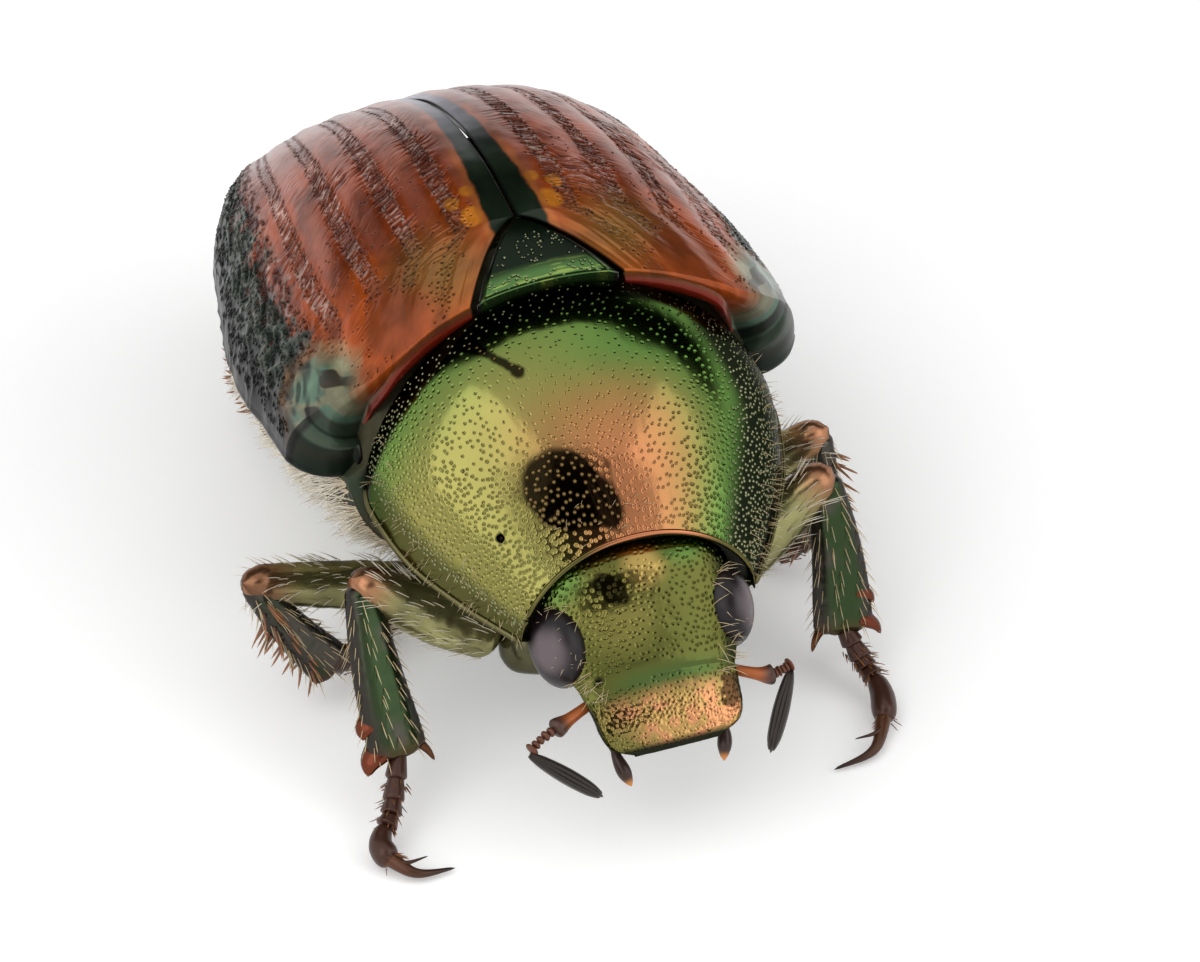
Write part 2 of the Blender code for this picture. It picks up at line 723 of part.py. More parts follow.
def make_tibia_arms(name, knee, ankle, outward, hinge, widths, height):
    """The teeth of a digging front tibia, or the spines of a walking one, and the spurs by its foot."""
    pair = name.split("_")[0]
    ahead = (ankle - knee).normalized()
    arms = []

    def arm(label, share, turn, length, radius, lean, bend=0.0, flat=1.0):
        """One spine, rooted inside the tibia at that share of its length and turned about it."""
        out = outward * math.cos(turn) + hinge * math.sin(turn)
        wide = widths[1] * abs(math.cos(turn)) + height * abs(math.sin(turn))
        root = knee.lerp(ankle, share) + out * wide * 0.5
        way = (out * (1.0 - lean) + ahead * lean).normalized()
        full = length + wide * 0.5
        middle = root + way * full * 0.55
        tip = root + (way + ahead * bend).normalized() * full
        radii = (radius, radius * 0.7)
        arms.append(cone(f"{label}_{name}", (root, middle, tip), radii, sides=4, flat=flat))

    if pair == "front":
        arm("tooth_1", 0.80, 0.0, 0.24, 0.20, 0.35, 0.3)
        arm("tooth_2", 0.93, 0.0, 0.36, 0.22, 0.55, 0.4)
    else:
        for k in range(SPINES):
            turn = math.radians((-65.0, 0.0, 60.0)[k % 3])
            arm(f"spine_{k}", 0.28 + 0.6 * k / (SPINES - 1), turn, SPINE_LENGTH, SPINE_RADIUS, 0.45)
    arm("spur", 0.93, math.pi, SPURS[pair], 0.13, 0.6, 0.3)
    return arms


def make_leg(name, trunk):
    """The leg's solids, root first. Each is cut clear of the one that it grows from."""
    spec = LEGS[name]
    sizes = LEG_SIZES[name.split("_")[0]]
    inner, outer = (Vector(p) for p in spec["coxa"])
    knee, ankle = Vector(spec["knee"]), Vector(spec["ankle"])
    femur_line, tibia_line = knee - outer, ankle - knee
    hinge = femur_line.cross(tibia_line)
    across = hinge.cross(femur_line)

    coxa = tube(
        f"coxa_{name}", straight(inner, outer, (0.0, 0.35, 0.7, 1.0)), (0.3, 0.42, 0.4, 0.3),
        (0.34, 0.42, 0.38, 0.3), (0.0, 1.0, 0.0), sides=10,
    )
    cut_clear(coxa, *trunk)
    widths, height = sizes["femur"]
    femur = tube(
        f"femur_{name}", straight(outer, knee, (0.0, 0.3, 0.65, 0.94)),
        (widths[0] * 0.85, widths[0], widths[1], widths[2]), (height,) * 4, across, sides=10,
    )
    cut_clear(femur, coxa, *trunk)
    widths, height = sizes["tibia"]
    outward = -hinge.cross(tibia_line).normalized()
    if outward.dot(ankle - outer) < 0.0:
        outward = -outward
    tibia = tube(
        f"tibia_{name}", straight(knee, ankle, (0.0, 0.25, 0.6, 0.9, 1.0)),
        (widths[0] * 0.9, widths[0], widths[1], widths[2], widths[2] * 0.85), (height,) * 5,
        hinge.cross(tibia_line), sides=10,
    )
    arms = make_tibia_arms(name, knee, ankle, outward, hinge.normalized(), widths, height)
    toe_line = curve_through([Vector(p) for p in spec["toe"]], len(TOE_HALF_WIDTHS))
    tarsus = tube(
        f"tarsus_{name}", toe_line, TOE_HALF_WIDTHS, TOE_HALF_WIDTHS, (0.0, 0.0, 1.0), sides=8,
    )
    claw_line = curve_through([Vector(p) for p in spec["claw"]], len(CLAW_RADII) + 1)
    claws = []
    for number, spread in enumerate((0.0, CLAW_SPREAD)):
        turned = []
        for k, p in enumerate(claw_line):
            share = k / (len(claw_line) - 1)
            lift = Vector((0.0, 0.0, spread * (0.4 + share)))
            turned.append(claw_line[0].lerp(p, 1.0 - 0.5 * spread) + lift)
        claws.append(cone(f"claw_{number}", turned, CLAW_RADII, sides=6))
    fuse(tarsus, claws)
    cut_clear(tarsus, tibia, *arms)
    flatten_foot(tarsus)
    fuse(tibia, arms)
    cut_clear(tibia, femur)
    return [coxa, femur, tibia, tarsus]


FEELERS = {
    "right": {
        "stem": ((-0.78, -5.16, 1.93), (-1.21, -5.30, 1.84), (-1.48, -5.40, 1.8), (-1.69, -5.5, 1.72)),
        "club": ((-1.69, -5.5, 1.7), (-0.91, -5.85, 1.1)),
        "palp": ((-0.52, -5.1, 1.3), (-0.6, -5.42, 1.28), (-0.51, -5.70, 1.0)),
    },
    "left": {
        "stem": ((0.82, -5.16, 1.95), (1.23, -5.37, 1.9), (1.42, -5.36, 1.9), (1.58, -5.31, 1.92)),
        "club": ((1.56, -5.33, 1.86), (1.09, -5.92, 1.2)),
        "palp": ((0.5, -5.1, 1.3), (0.68, -5.45, 1.36), (0.6, -5.74, 1.08)),
    },
}
CLUB_HALF_WIDTH, CLUB_HALF_HEIGHT = 0.25, 0.22


def make_feelers(side, head):
    spec = FEELERS[side]
    stem_line = curve_through([Vector(p) for p in spec["stem"]], 7)
    stem = tube(
        f"antenna_{side}", stem_line, (0.16, 0.22, 0.26, 0.2, 0.21, 0.2, 0.22),
        (0.16, 0.22, 0.26, 0.2, 0.21, 0.2, 0.22), (0.0, 0.0, 1.0), sides=8,
    )
    cut_clear(stem, head)
    root, tip = (Vector(p) for p in spec["club"])
    club = tube(
        f"antenna_club_{side}", straight(root, tip, (0.0, 0.2, 0.55, 0.85, 0.97)),
        [CLUB_HALF_WIDTH * share for share in (0.7, 1.0, 1.0, 0.92, 0.6)],
        [CLUB_HALF_HEIGHT * share for share in (1.0, 1.0, 1.0, 1.0, 0.7)],
        (0.0, 0.0, 1.0), sides=16, groove=0.3,
    )
    cut_clear(club, stem)
    palp_line = curve_through([Vector(p) for p in spec["palp"]], 6)
    palp = tube(
        f"palp_{side}", palp_line, (0.14, 0.16, 0.18, 0.17, 0.2, 0.12), (0.14, 0.16, 0.18, 0.17, 0.2, 0.12),
        (0.0, 0.0, 1.0), sides=8,
    )
    return stem, club, palp


def make_mouthparts():
    """The lip and jaws under the face shield."""
    rings = []
    for u, half, middle, height in (
        (0.75, 0.35, -1.3, 0.18), (1.05, 0.52, -1.2, 0.3), (1.5, 0.6, -1.02, 0.34),
        (1.9, 0.56, -0.86, 0.28), (2.14, 0.42, -0.78, 0.2),
    ):
        ring = []
        for j in range(12):
            a = 2 * math.pi * j / 12
            ring.append(from_head(half * math.cos(a), u, middle + height * math.sin(a)))
        rings.append(ring)
    return loft("mouthparts", rings)


def build():
    looks = make_materials()
    made = {}

    def keep(obj, look):
        obj.data.materials.clear()
        obj.data.materials.append(looks[look])
        made[obj.name] = obj
        return obj

    head = make_head()
    for side in SIDES:
        eye = keep(make_eye(side), "eye_black")
        cut_clear(head, eye)
    keep(head, "green_cuticle")
    pronotum = keep(make_pronotum(), "green_cuticle")
    cut_clear(pronotum, head, *(made[f"eye_{side}"] for side in SIDES))
    mouth = cut_clear(keep(make_mouthparts(), "dark_cuticle"), head, pronotum)
    hind_thorax = keep(make_hind_thorax(), "dark_cuticle")
    cut_clear(hind_thorax, pronotum)
    add_side_tufts(keep(make_abdomen(), "dark_cuticle"))
    add_rear_tufts(keep(make_pygidium(), "green_cuticle"))
    keep(make_scutellum(), "green_cuticle")
    for side in SIDES:
        keep(make_elytron(side), "elytra_brown")
        stem, club, palp = make_feelers(side, head)
        cut_clear(palp, head, mouth)
        for piece in (stem, club, palp):
            keep(piece, "tarsus_brown")
    for name in LEGS:
        trunk = (pronotum,) if name.startswith("front") else (hind_thorax,)
        if name.startswith("hind"):
            trunk = (hind_thorax, made["abdomen"])
        for piece, look in zip(make_leg(name, trunk), LEG_LOOKS):
            keep(piece, look)
    return made


def place_all(made):
    """Turns millimetres into metres and stands the whole on the middle of its own base."""
    corners = np.array([v.co for obj in made.values() for v in obj.data.vertices])
    low, high = corners.min(axis=0), corners.max(axis=0)
    base = bpy.data.objects.new("beetle", None)
    bpy.context.scene.collection.objects.link(base)
    base.location = Vector((-(low[0] + high[0]) / 2, -(low[1] + high[1]) / 2, -low[2])) * MM
    for obj in made.values():
        points = np.array([v.co for v in obj.data.vertices])
        middle = Vector((points.min(axis=0) + points.max(axis=0)) / 2)
        obj.data.transform(Matrix.Translation(-middle))
        obj.data.transform(Matrix.Scale(MM, 4))
        obj.location = middle * MM
        obj.parent = base
        obj.data.shade_smooth()
        obj.data.set_sharp_from_angle(angle=math.radians(40))


clear_scene()
place_all(build())
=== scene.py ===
"""The looks of a Japanese beetle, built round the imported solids.

Every size below is in millimetres, in the beetle's own frame: +X is its left, -Y is forward, +Z is up and
the floor is at Z 0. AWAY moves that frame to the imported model's, which stands on the middle of its base.
"""

import math

import bpy
import numpy as np
from mathutils import Matrix, Vector


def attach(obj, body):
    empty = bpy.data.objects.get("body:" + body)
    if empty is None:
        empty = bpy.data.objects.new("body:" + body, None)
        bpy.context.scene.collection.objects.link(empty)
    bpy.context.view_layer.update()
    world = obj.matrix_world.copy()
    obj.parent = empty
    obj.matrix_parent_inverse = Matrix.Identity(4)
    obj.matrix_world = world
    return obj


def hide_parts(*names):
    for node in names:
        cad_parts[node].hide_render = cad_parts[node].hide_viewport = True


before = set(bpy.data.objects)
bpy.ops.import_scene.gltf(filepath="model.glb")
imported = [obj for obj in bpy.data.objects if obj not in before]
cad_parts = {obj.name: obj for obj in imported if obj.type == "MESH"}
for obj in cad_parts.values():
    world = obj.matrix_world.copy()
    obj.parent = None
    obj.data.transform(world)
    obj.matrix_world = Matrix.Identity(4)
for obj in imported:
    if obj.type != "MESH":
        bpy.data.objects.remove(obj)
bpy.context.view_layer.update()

MM = 0.001
AWAY = np.array([0.0558, 0.4875, 0.0])
SIDES = {"left": 1.0, "right": -1.0}
SEED = 7
TAU = 2 * math.pi

# The camera, as the photograph was taken.
VIEW_TURN = math.radians(-20.805)
VIEW_RISE = math.radians(41.99)
VIEW_ROLL = math.radians(0.589)
VIEW_CENTRE = np.array([0.0, -1.0, 3.0])
VIEW_RIGHT, VIEW_DOWN = 0.785, 1.084
FRAME_WIDTH = 13.833
LENS, SENSOR = 400.0, 36.0

# The body, in the same sizes as the solids.
GAP = 0.1
HIND_FRONT_Y = -1.5
HIND_BOW = 0.55
SHOULDER_TURN = 0.85
TURN_FROM = 2.05
ELYTRA_END_Y = 4.25
ELYTRA_END_Z = 3.0
ELYTRA_END_ROUNDING = 0.47
HIND_HALF_WIDTH = 3.12
HIND_CREST_Z = 5.19
SHOULDER_CREST_Z = 4.98
CREST_AT = 0.26
PRONOTUM_HALF_WIDTH = 2.46
PRONOTUM_FRONT_HALF_WIDTH = 1.42
PRONOTUM_FRONT_Y = -4.3
PRONOTUM_FRONT_CORNER_Y = -4.5
SCUTELLUM_HALF_WIDTH = 0.9
SCUTELLUM_TIP_Y = -0.53
HEAD_ORIGIN = np.array([0.0, -4.32, 3.42])
FACE_SLOPE = math.radians(51.0)
FACE_LENGTH = 2.37
EYE_CENTRE = (1.0, 0.98, -0.42)
EYE_RADII = (0.33, 0.5, 0.46)


# Numbers.


def mix(a, b, t):
    return a + (b - a) * t


def step(low, high, value):
    """A smooth rise from 0 at low to 1 at high."""
    t = np.clip((value - low) / (high - low), 0.0, 1.0)
    return t * t * (3.0 - 2.0 * t)


def bell(x, width):
    """1 where x is 0, falling smoothly to both sides."""
    return np.exp(-((x / width) ** 2))


def dome(r, power, root):
    return np.maximum(0.0, 1.0 - np.abs(r) ** power) ** (1.0 / root)


def along(stops, t):
    """A smooth curve through (t, value) stops, for one t or an array of them."""
    places, values = np.array(stops, float).T
    t = np.clip(np.asarray(t, float), places[0], places[-1])
    i = np.clip(np.searchsorted(places, t) - 1, 0, len(places) - 2)
    low, high = np.maximum(i - 1, 0), np.minimum(i + 2, len(places) - 1)
    span = places[i + 1] - places[i]
    k = (t - places[i]) / span
    rise_a = (values[i + 1] - values[low]) / (places[i + 1] - places[low]) * span
    rise_b = (values[high] - values[i]) / (places[high] - places[i]) * span
    return (
        (2 * k**3 - 3 * k**2 + 1) * values[i]
        + (k**3 - 2 * k**2 + k) * rise_a
        + (-2 * k**3 + 3 * k**2) * values[i + 1]
        + (k**3 - k**2) * rise_b
    )


def noise(x, y, seed=0):
    """Smooth random values from -1 to 1, one period a unit."""
    cells = 128
    table = np.random.default_rng(SEED + seed).uniform(-1.0, 1.0, (cells, cells))
    i, j = np.floor(x).astype(int), np.floor(y).astype(int)
    u, v = x - i, y - j
    u, v = u * u * (3 - 2 * u), v * v * (3 - 2 * v)
    i, j, after_i, after_j = i % cells, j % cells, (i + 1) % cells, (j + 1) % cells
    near = mix(table[i, j], table[after_i, j], u)
    far = mix(table[i, after_j], table[after_i, after_j], u)
    return mix(near, far, v)


def rough(x, y, seed=0, steps=3):
    """Noise with finer noise on it."""
    total = 0.0
    for k in range(steps):
        total = total + noise(x * 2.0**k, y * 2.0**k, seed + k) * 0.5**k
    return total


def unit(v):
    return v / np.maximum(np.linalg.norm(v, axis=-1, keepdims=True), 1e-9)


def spot(points, centre, radius):
    """1 at the centre, falling smoothly to 0 at the radius."""
    gap = np.linalg.norm(points - np.array(centre), axis=-1)
    return step(radius, 0.0, gap)


def painted(shape, base, *layers):
    """A base colour with layers over it, each a colour and how much of it there is at each point."""
    tint = np.asarray(base, float) + np.zeros(shape)
    for colour, amount in layers:
        tint = mix(tint, np.asarray(colour, float), np.asarray(amount)[..., None])
    return tint


# Meshes. A sheet is a grid of points, and a tag is a number or a colour at each point.


def sheet_normals(points, wrap=False):
    if wrap:
        wide = np.concatenate([points[:, -1:], points, points[:, :1]], axis=1)
        across = np.gradient(wide, axis=1)[:, 1:-1]
    else:
        across = np.gradient(points, axis=1)
    return unit(np.cross(np.gradient(points, axis=0), across))


def add_tag(mesh, label, values):
    values = np.asarray(values, np.float32)
    count = len(mesh.vertices)
    if values.size == count * 3:
        colours = np.ones((count, 4), np.float32)
        colours[:, :3] = values.reshape(-1, 3)
        mesh.attributes.new(label, "FLOAT_COLOR", "POINT").data.foreach_set("color", colours.ravel())
    else:
        mesh.attributes.new(label, "FLOAT", "POINT").data.foreach_set("value", values.ravel())


def new_object(name, data):
    obj = bpy.data.objects.new(name, data)
    bpy.context.scene.collection.objects.link(obj)
    return obj


def piece(name, points, faces, look, stands_for, tags, uv=None):
    """One object of that name, made from arrays, with its tags as attributes. It takes the place of a CAD
    node."""
    mesh = bpy.data.meshes.new(name)
    faces = np.asarray(faces, np.int32)
    points = np.asarray(points, float).reshape(-1, 3)
    mesh.vertices.add(len(points))
    mesh.vertices.foreach_set("co", ((points + AWAY) * MM).astype(np.float32).ravel())
    mesh.loops.add(faces.size)
    mesh.loops.foreach_set("vertex_index", faces.ravel())
    mesh.polygons.add(len(faces))
    mesh.polygons.foreach_set("loop_start", np.arange(0, faces.size, faces.shape[1], dtype=np.int32))
    mesh.update(calc_edges=True)
    mesh.validate()
    for label, values in tags.items():
        add_tag(mesh, label, values)
    if uv is not None:
        layer = mesh.uv_layers.new(name="OFBake")
        layer.data.foreach_set("uv", np.asarray(uv, np.float32)[faces.ravel()].ravel())
    mesh.shade_smooth()
    obj = new_object(name, mesh)
    mesh.materials.append(LOOKS[look])
    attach(obj, "root")
    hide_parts(stands_for)


def grid_faces(rows, columns, wrap=False, turned=False):
    index = np.arange(rows * columns).reshape(rows, columns)
    if wrap:
        index = np.concatenate([index, index[:, :1]], axis=1)
    a, b, c, d = index[:-1, :-1], index[:-1, 1:], index[1:, 1:], index[1:, :-1]
    order = (d, c, b, a) if turned else (a, b, c, d)
    return np.stack(order, axis=-1).reshape(-1, 4)


def sheet(name, points, look, stands_for, tags, turned, wrap=False):
    faces = grid_faces(*points.shape[:2], wrap, turned)
    piece(name, points, faces, look, stands_for, tags)


DENT_REACH = 1.7  # how far a pit and its ring act, in radii of the pit
RING_AT, RING_WIDTH = 1.18, 0.26


def dent(points, pits, ring):
    """The height that the pits give a sheet, and how deep in a pit each point lies. Each pit is
    (row, column, radius, depth), and its raised ring is that share of its depth."""
    rows, columns = points.shape[:2]
    height, inside = np.zeros((rows, columns)), np.zeros((rows, columns))
    across = np.linalg.norm(np.gradient(points, axis=1), axis=-1)
    down = np.linalg.norm(np.gradient(points, axis=0), axis=-1)
    for row, column, radius, depth in pits:
        i, j = int(row), int(column)
        if not (0 <= i < rows - 1 and 0 <= j < columns - 1):
            continue
        near = mix(points[i, j], points[i + 1, j], row - i)
        far = mix(points[i, j + 1], points[i + 1, j + 1], row - i)
        centre = mix(near, far, column - j)
        reach_i = int(DENT_REACH * radius / max(down[i, j], 1e-4)) + 1
        reach_j = int(DENT_REACH * radius / max(across[i, j], 1e-4)) + 1
        box = np.s_[max(i - reach_i, 0) : i + reach_i + 2, max(j - reach_j, 0) : j + reach_j + 2]
        gap = np.linalg.norm(points[box] - centre, axis=-1) / radius
        bowl = np.maximum(1.0 - gap * gap, 0.0) ** 1.5
        height[box] += depth * (ring * bell(gap - RING_AT, RING_WIDTH) - bowl)
        inside[box] = np.maximum(inside[box], bowl)
    return height, inside


def scatter(rng, rows, columns, spacing_rows, spacing_columns, shake=0.33):
    """Places on a shaken lattice over a sheet, as (row, column)."""
    found = []
    row, odd = 0.0, 0
    while row < rows - 1:
        column = spacing_columns * 0.5 * odd
        while column < columns - 1:
            found.append((row, column))
            column += spacing_columns
        row += spacing_rows
        odd = 1 - odd
    found = np.array(found, float)
    found[:, 0] += rng.uniform(-shake, shake, len(found)) * spacing_rows
    found[:, 1] += rng.uniform(-shake, shake, len(found)) * spacing_columns
    return found


def at(grid, rows, columns):
    """The points of a grid at fractional rows and columns."""
    i = np.clip(rows.astype(int), 0, grid.shape[0] - 2)
    j = np.clip(columns.astype(int), 0, grid.shape[1] - 2)
    u, v = np.clip(rows - i, 0, 1)[:, None], np.clip(columns - j, 0, 1)[:, None]
    near = mix(grid[i, j], grid[i + 1, j], u)
    far = mix(grid[i, j + 1], grid[i + 1, j + 1], u)
    return mix(near, far, v)


def skin(points, tags, pits=(), ring=0.25, relief=None, wrap=False, centre=None):
    """A sheet's points, raised by relief and dented by pits, its tags, and which way its faces turn.
    Its outer side looks away from centre."""
    normals = sheet_normals(points, wrap)
    if centre is not None:
        middle = np.array(centre)
    elif wrap:
        middle = points.mean(axis=1, keepdims=True)
    else:
        middle = points.reshape(-1, 3).mean(axis=0)
    turned = (normals * unit(points - middle)).sum() > 0.0
    if not turned:
        normals = -normals
    height, inside = np.zeros(points.shape[:2]), np.zeros(points.shape[:2])
    if len(pits):
        height, inside = dent(points, pits, ring)
    if relief is not None:
        height = height + relief
    points = points + normals * height[..., None]
    return points, tags | {"pit": np.maximum(inside, tags.get("pit", 0.0))}, turned


def skin_sheet(name, points, tint, look, slot, stands_for, **form):
    points, tags, turned = skin(points, {"tint": tint}, **form)
    sheet(name, points, look, stands_for, tags, turned, form.get("wrap", False))


def pad(values, first, last, axis):
    """The grid with its first and last line repeated once for each offset, and moved by it."""
    values = np.moveaxis(values, axis, 0)
    before = [values[0] + np.asarray(offset) for offset in first[::-1]]
    after = [values[-1] + np.asarray(offset) for offset in last]
    return np.moveaxis(np.array([*before, *values, *after]), 0, axis)


def pad_all(points, tags, first, last, axis):
    """Pads the points by the offsets, and each tag by as many copies of its edge."""
    out = {}
    for label, values in tags.items():
        values = np.broadcast_to(values, points.shape[: 2 if np.ndim(values) < 3 else 3])
        out[label] = pad(values, [0.0] * len(first), [0.0] * len(last), axis)
    return pad(points, first, last, axis), out


def square_ways(ways, steep):
    """Two ways square to each of the ways and to each other. A way is steep when its rise is over that."""
    helper = np.where(np.abs(ways[:, 2:]) < steep, [[0.0, 0.0, 1.0]], [[1.0, 0.0, 0.0]])
    side = unit(np.cross(ways, helper))
    return side, np.cross(side, ways)


def bead(name, path, radius, tint, sides=10):
    """A thin round edge of the shield, along a path."""
    side, up = square_ways(unit(np.gradient(path, axis=0)), 0.9)
    share = np.linspace(0.0, 1.0, len(path))
    taper = np.minimum(1.0, np.sqrt(np.minimum(share, 1 - share) * 40 + 0.02))
    thick = np.broadcast_to(radius, len(path)) * taper
    turns = np.arange(sides) * TAU / sides
    ring = side[:, None] * np.cos(turns)[None, :, None] + up[:, None] * np.sin(turns)[None, :, None]
    points = path[:, None] + ring * thick[:, None, None]
    tint = painted(points.shape, tint)
    skin_sheet(name, points, tint, "pronotum", "green_cuticle", "pronotum", wrap=True)


# Looks.


def feed(tree, socket, value):
    """Links an output to the socket, or sets the socket's own value."""
    if isinstance(value, bpy.types.NodeSocket):
        tree.links.new(value, socket)
    else:
        socket.default_value = value


def shader_node(tree, kind, **values):
    """A new shader node. Each value is a setting, a socket's value, or the output that feeds the socket."""
    made = tree.nodes.new(kind)
    for key, value in values.items():
        if key in made.inputs:
            feed(tree, made.inputs[key], value)
        else:
            setattr(made, key, value)
    return made


def ramp(tree, value, low, high, start=0.0, end=1.0, kind="LINEAR"):
    """From low where the value is start to high where it is end."""
    ends = {"From Min": start, "From Max": end, "To Min": low, "To Max": high}
    made = shader_node(tree, "ShaderNodeMapRange", interpolation_type=kind, Value=value, **ends)
    return made.outputs["Result"]


def blend(tree, a, b, factor=1.0, kind="MULTIPLY"):
    """Two colours in one, as their product or by that factor."""
    choice = {"data_type": "RGBA", "blend_type": kind}
    return shader_node(tree, "ShaderNodeMix", **choice, Factor=factor, A=a, B=b).outputs["Result"]


def tag_output(tree, label, output="Fac"):
    return shader_node(tree, "ShaderNodeAttribute", attribute_name=label).outputs[output]


def speckle(tree, scale, detail, **values):
    place = shader_node(tree, "ShaderNodeTexCoord").outputs["Object"]
    values |= {"Vector": place, "Scale": scale, "Detail": detail}
    return shader_node(tree, "ShaderNodeTexNoise", **values).outputs["Fac"]


def new_look(name, values):
    """A material with these values in its shader, its tree and the shader's inputs."""
    look = bpy.data.materials.new(name)
    look.use_nodes = True
    shader = look.node_tree.nodes["Principled BSDF"].inputs
    for key, value in values.items():
        shader[key].default_value = value
    return look, look.node_tree, shader


BLOTCH_SCALE, GRAIN_SCALE = 1040.0, 26000.0  # periods a metre


def cuticle(
    name, colour, roughness, metallic, coat, pit_dark=0.5, grain=0.004, edge=1.0, level=0.5, soft=0.08,
    spread=0.12,
):
    """Polished beetle skin: its tint, small blotches, darker pits, and a fine grain."""
    values = {"Base Color": (*colour, 1.0), "Metallic": metallic, "Coat Roughness": soft}
    values |= {"Specular Tint": (edge, edge, edge, 1.0), "Specular IOR Level": level}
    look, tree, shader = new_look(name, values)
    blotch = speckle(tree, BLOTCH_SCALE, 4.0, Roughness=0.6)
    pit = tag_output(tree, "pit")
    varied = blend(tree, tag_output(tree, "tint", "Color"), ramp(tree, blotch, 1.0 - spread, 1.0 + spread))
    shaded = blend(tree, varied, ramp(tree, pit, 1.0, 1.0 - pit_dark))
    tree.links.new(shaded, shader["Base Color"])
    tree.links.new(ramp(tree, pit, coat, 0.0), shader["Coat Weight"])
    tree.links.new(ramp(tree, blotch, roughness * 0.8, roughness * 1.25), shader["Roughness"])
    fine = speckle(tree, GRAIN_SCALE, 3.0, Roughness=0.65)
    bump = shader_node(tree, "ShaderNodeBump", Strength=0.35, Distance=grain * MM, Height=fine)
    tree.links.new(bump.outputs["Normal"], shader["Normal"])
    return look


def hair_look(name, root, tip, roughness=0.45):
    """A hair's colour from its root to its tip, by the tag it carries."""
    look, tree, shader = new_look(name, {"Roughness": roughness, "Specular IOR Level": 0.5})
    colour = blend(tree, (*root, 1.0), (*tip, 1.0), tag_output(tree, "share"), "MIX")
    varied = blend(tree, colour, ramp(tree, speckle(tree, 3000.0, 2.0), 0.8, 1.15))
    tree.links.new(varied, shader["Base Color"])
    return look


# Each skin's colour, roughness, metallic and coat come first.
POLISHED = {"grain": 0.001, "edge": 0.5}
LOOKS = {
    "pronotum": cuticle("pronotum_green", (0.2, 0.4, 0.05), 0.13, 1.0, 0.0, 0.4, **POLISHED),
    "scutellum": cuticle("scutellum_green", (0.02, 0.04, 0.02), 0.16, 0.9, 0.1, 0.0, **POLISHED),
    "head": cuticle("head_green", (0.2, 0.3, 0.05), 0.17, 1.0, 0.0, 0.4, **POLISHED),
    "elytra": cuticle("elytra_copper", (0.3, 0.08, 0.03), 0.3, 0.5, 0.32, 0.92, 0.002, level=0.12, soft=0.12),
    "dark": cuticle("dark_bronze", (0.05, 0.045, 0.03), 0.4, 0.5, 0.0, edge=0.4),
    "leg": cuticle("leg_green", (0.1, 0.16, 0.06), 0.24, 0.85, 0.15, edge=0.5),
    "foot": cuticle("foot_brown", (0.05, 0.022, 0.012), 0.34, 0.3, 0.15, edge=0.5),
    "eye": cuticle(
        "eye_grey", (0.012, 0.008, 0.010), 0.35, 0.0, 0.1, grain=0.001, level=0.25, soft=0.2, spread=0.2
    ),
    "pale_hair": hair_look("hair_cream", (0.55, 0.45, 0.3), (0.9, 0.86, 0.76)),
    "gold_hair": hair_look("bristle_gold", (0.36, 0.24, 0.10), (0.74, 0.64, 0.42)),
    "spine": hair_look("spine_amber", (0.10, 0.035, 0.015), (0.34, 0.13, 0.035), 0.3),
}


# Hairs: bent cones, with a place on their skin's unwrap.

HAIR_RINGS, HAIR_SIDES = (0.0, 0.35, 0.7), 3
DROOP = (0.0, 0.0, -0.3)
SPINE_LENGTHS = {"mid": 0.3, "hind": 0.2}
COAT_LENGTHS = (0.46, 0.24)  # at the front of the thorax coat and at its end
COATS = {
    # length, radius, how much the bends differ, seed, look and slot
    "thigh_hairs": (0.3, 0.007, 0.12, 0, "pale_hair", "leg_green"),
    "shin_bristles": (0.19, 0.0065, 0.1, 20, "gold_hair", "leg_green"),
    "shin_spines": (SPINE_LENGTHS["mid"], 0.024, 0.1, 40, "spine", "leg_green"),
    "foot_bristles": (0.14, 0.009, 0.12, 60, "spine", "tarsus_brown"),
    "thorax_coat": (COAT_LENGTHS[0], 0.0095, 0.15, 80, "pale_hair", "dark_cuticle"),
    "side_tufts": (0.34, 0.011, 0.25, 90, "pale_hair", "dark_cuticle"),
    "rear_tufts": (0.4, 0.012, 0.25, 95, "pale_hair", "green_cuticle"),
    "shield_hairs": (0.15, 0.0045, 0.25, 97, "gold_hair", "green_cuticle"),
    "face_hairs": (0.24, 0.0055, 0.25, 99, "gold_hair", "green_cuticle"),
}


def hair_faces():
    """The triangles of one hair: two rings of sides and a tip."""
    faces = []
    for i in range(len(HAIR_RINGS) - 1):
        for j in range(HAIR_SIDES):
            a, b = i * HAIR_SIDES + j, i * HAIR_SIDES + (j + 1) % HAIR_SIDES
            faces += [(a, b, b + HAIR_SIDES), (a, b + HAIR_SIDES, a + HAIR_SIDES)]
    last = (len(HAIR_RINGS) - 1) * HAIR_SIDES
    tip = len(HAIR_RINGS) * HAIR_SIDES
    faces += [(last + j, last + (j + 1) % HAIR_SIDES, tip) for j in range(HAIR_SIDES)]
    return np.asarray(faces)


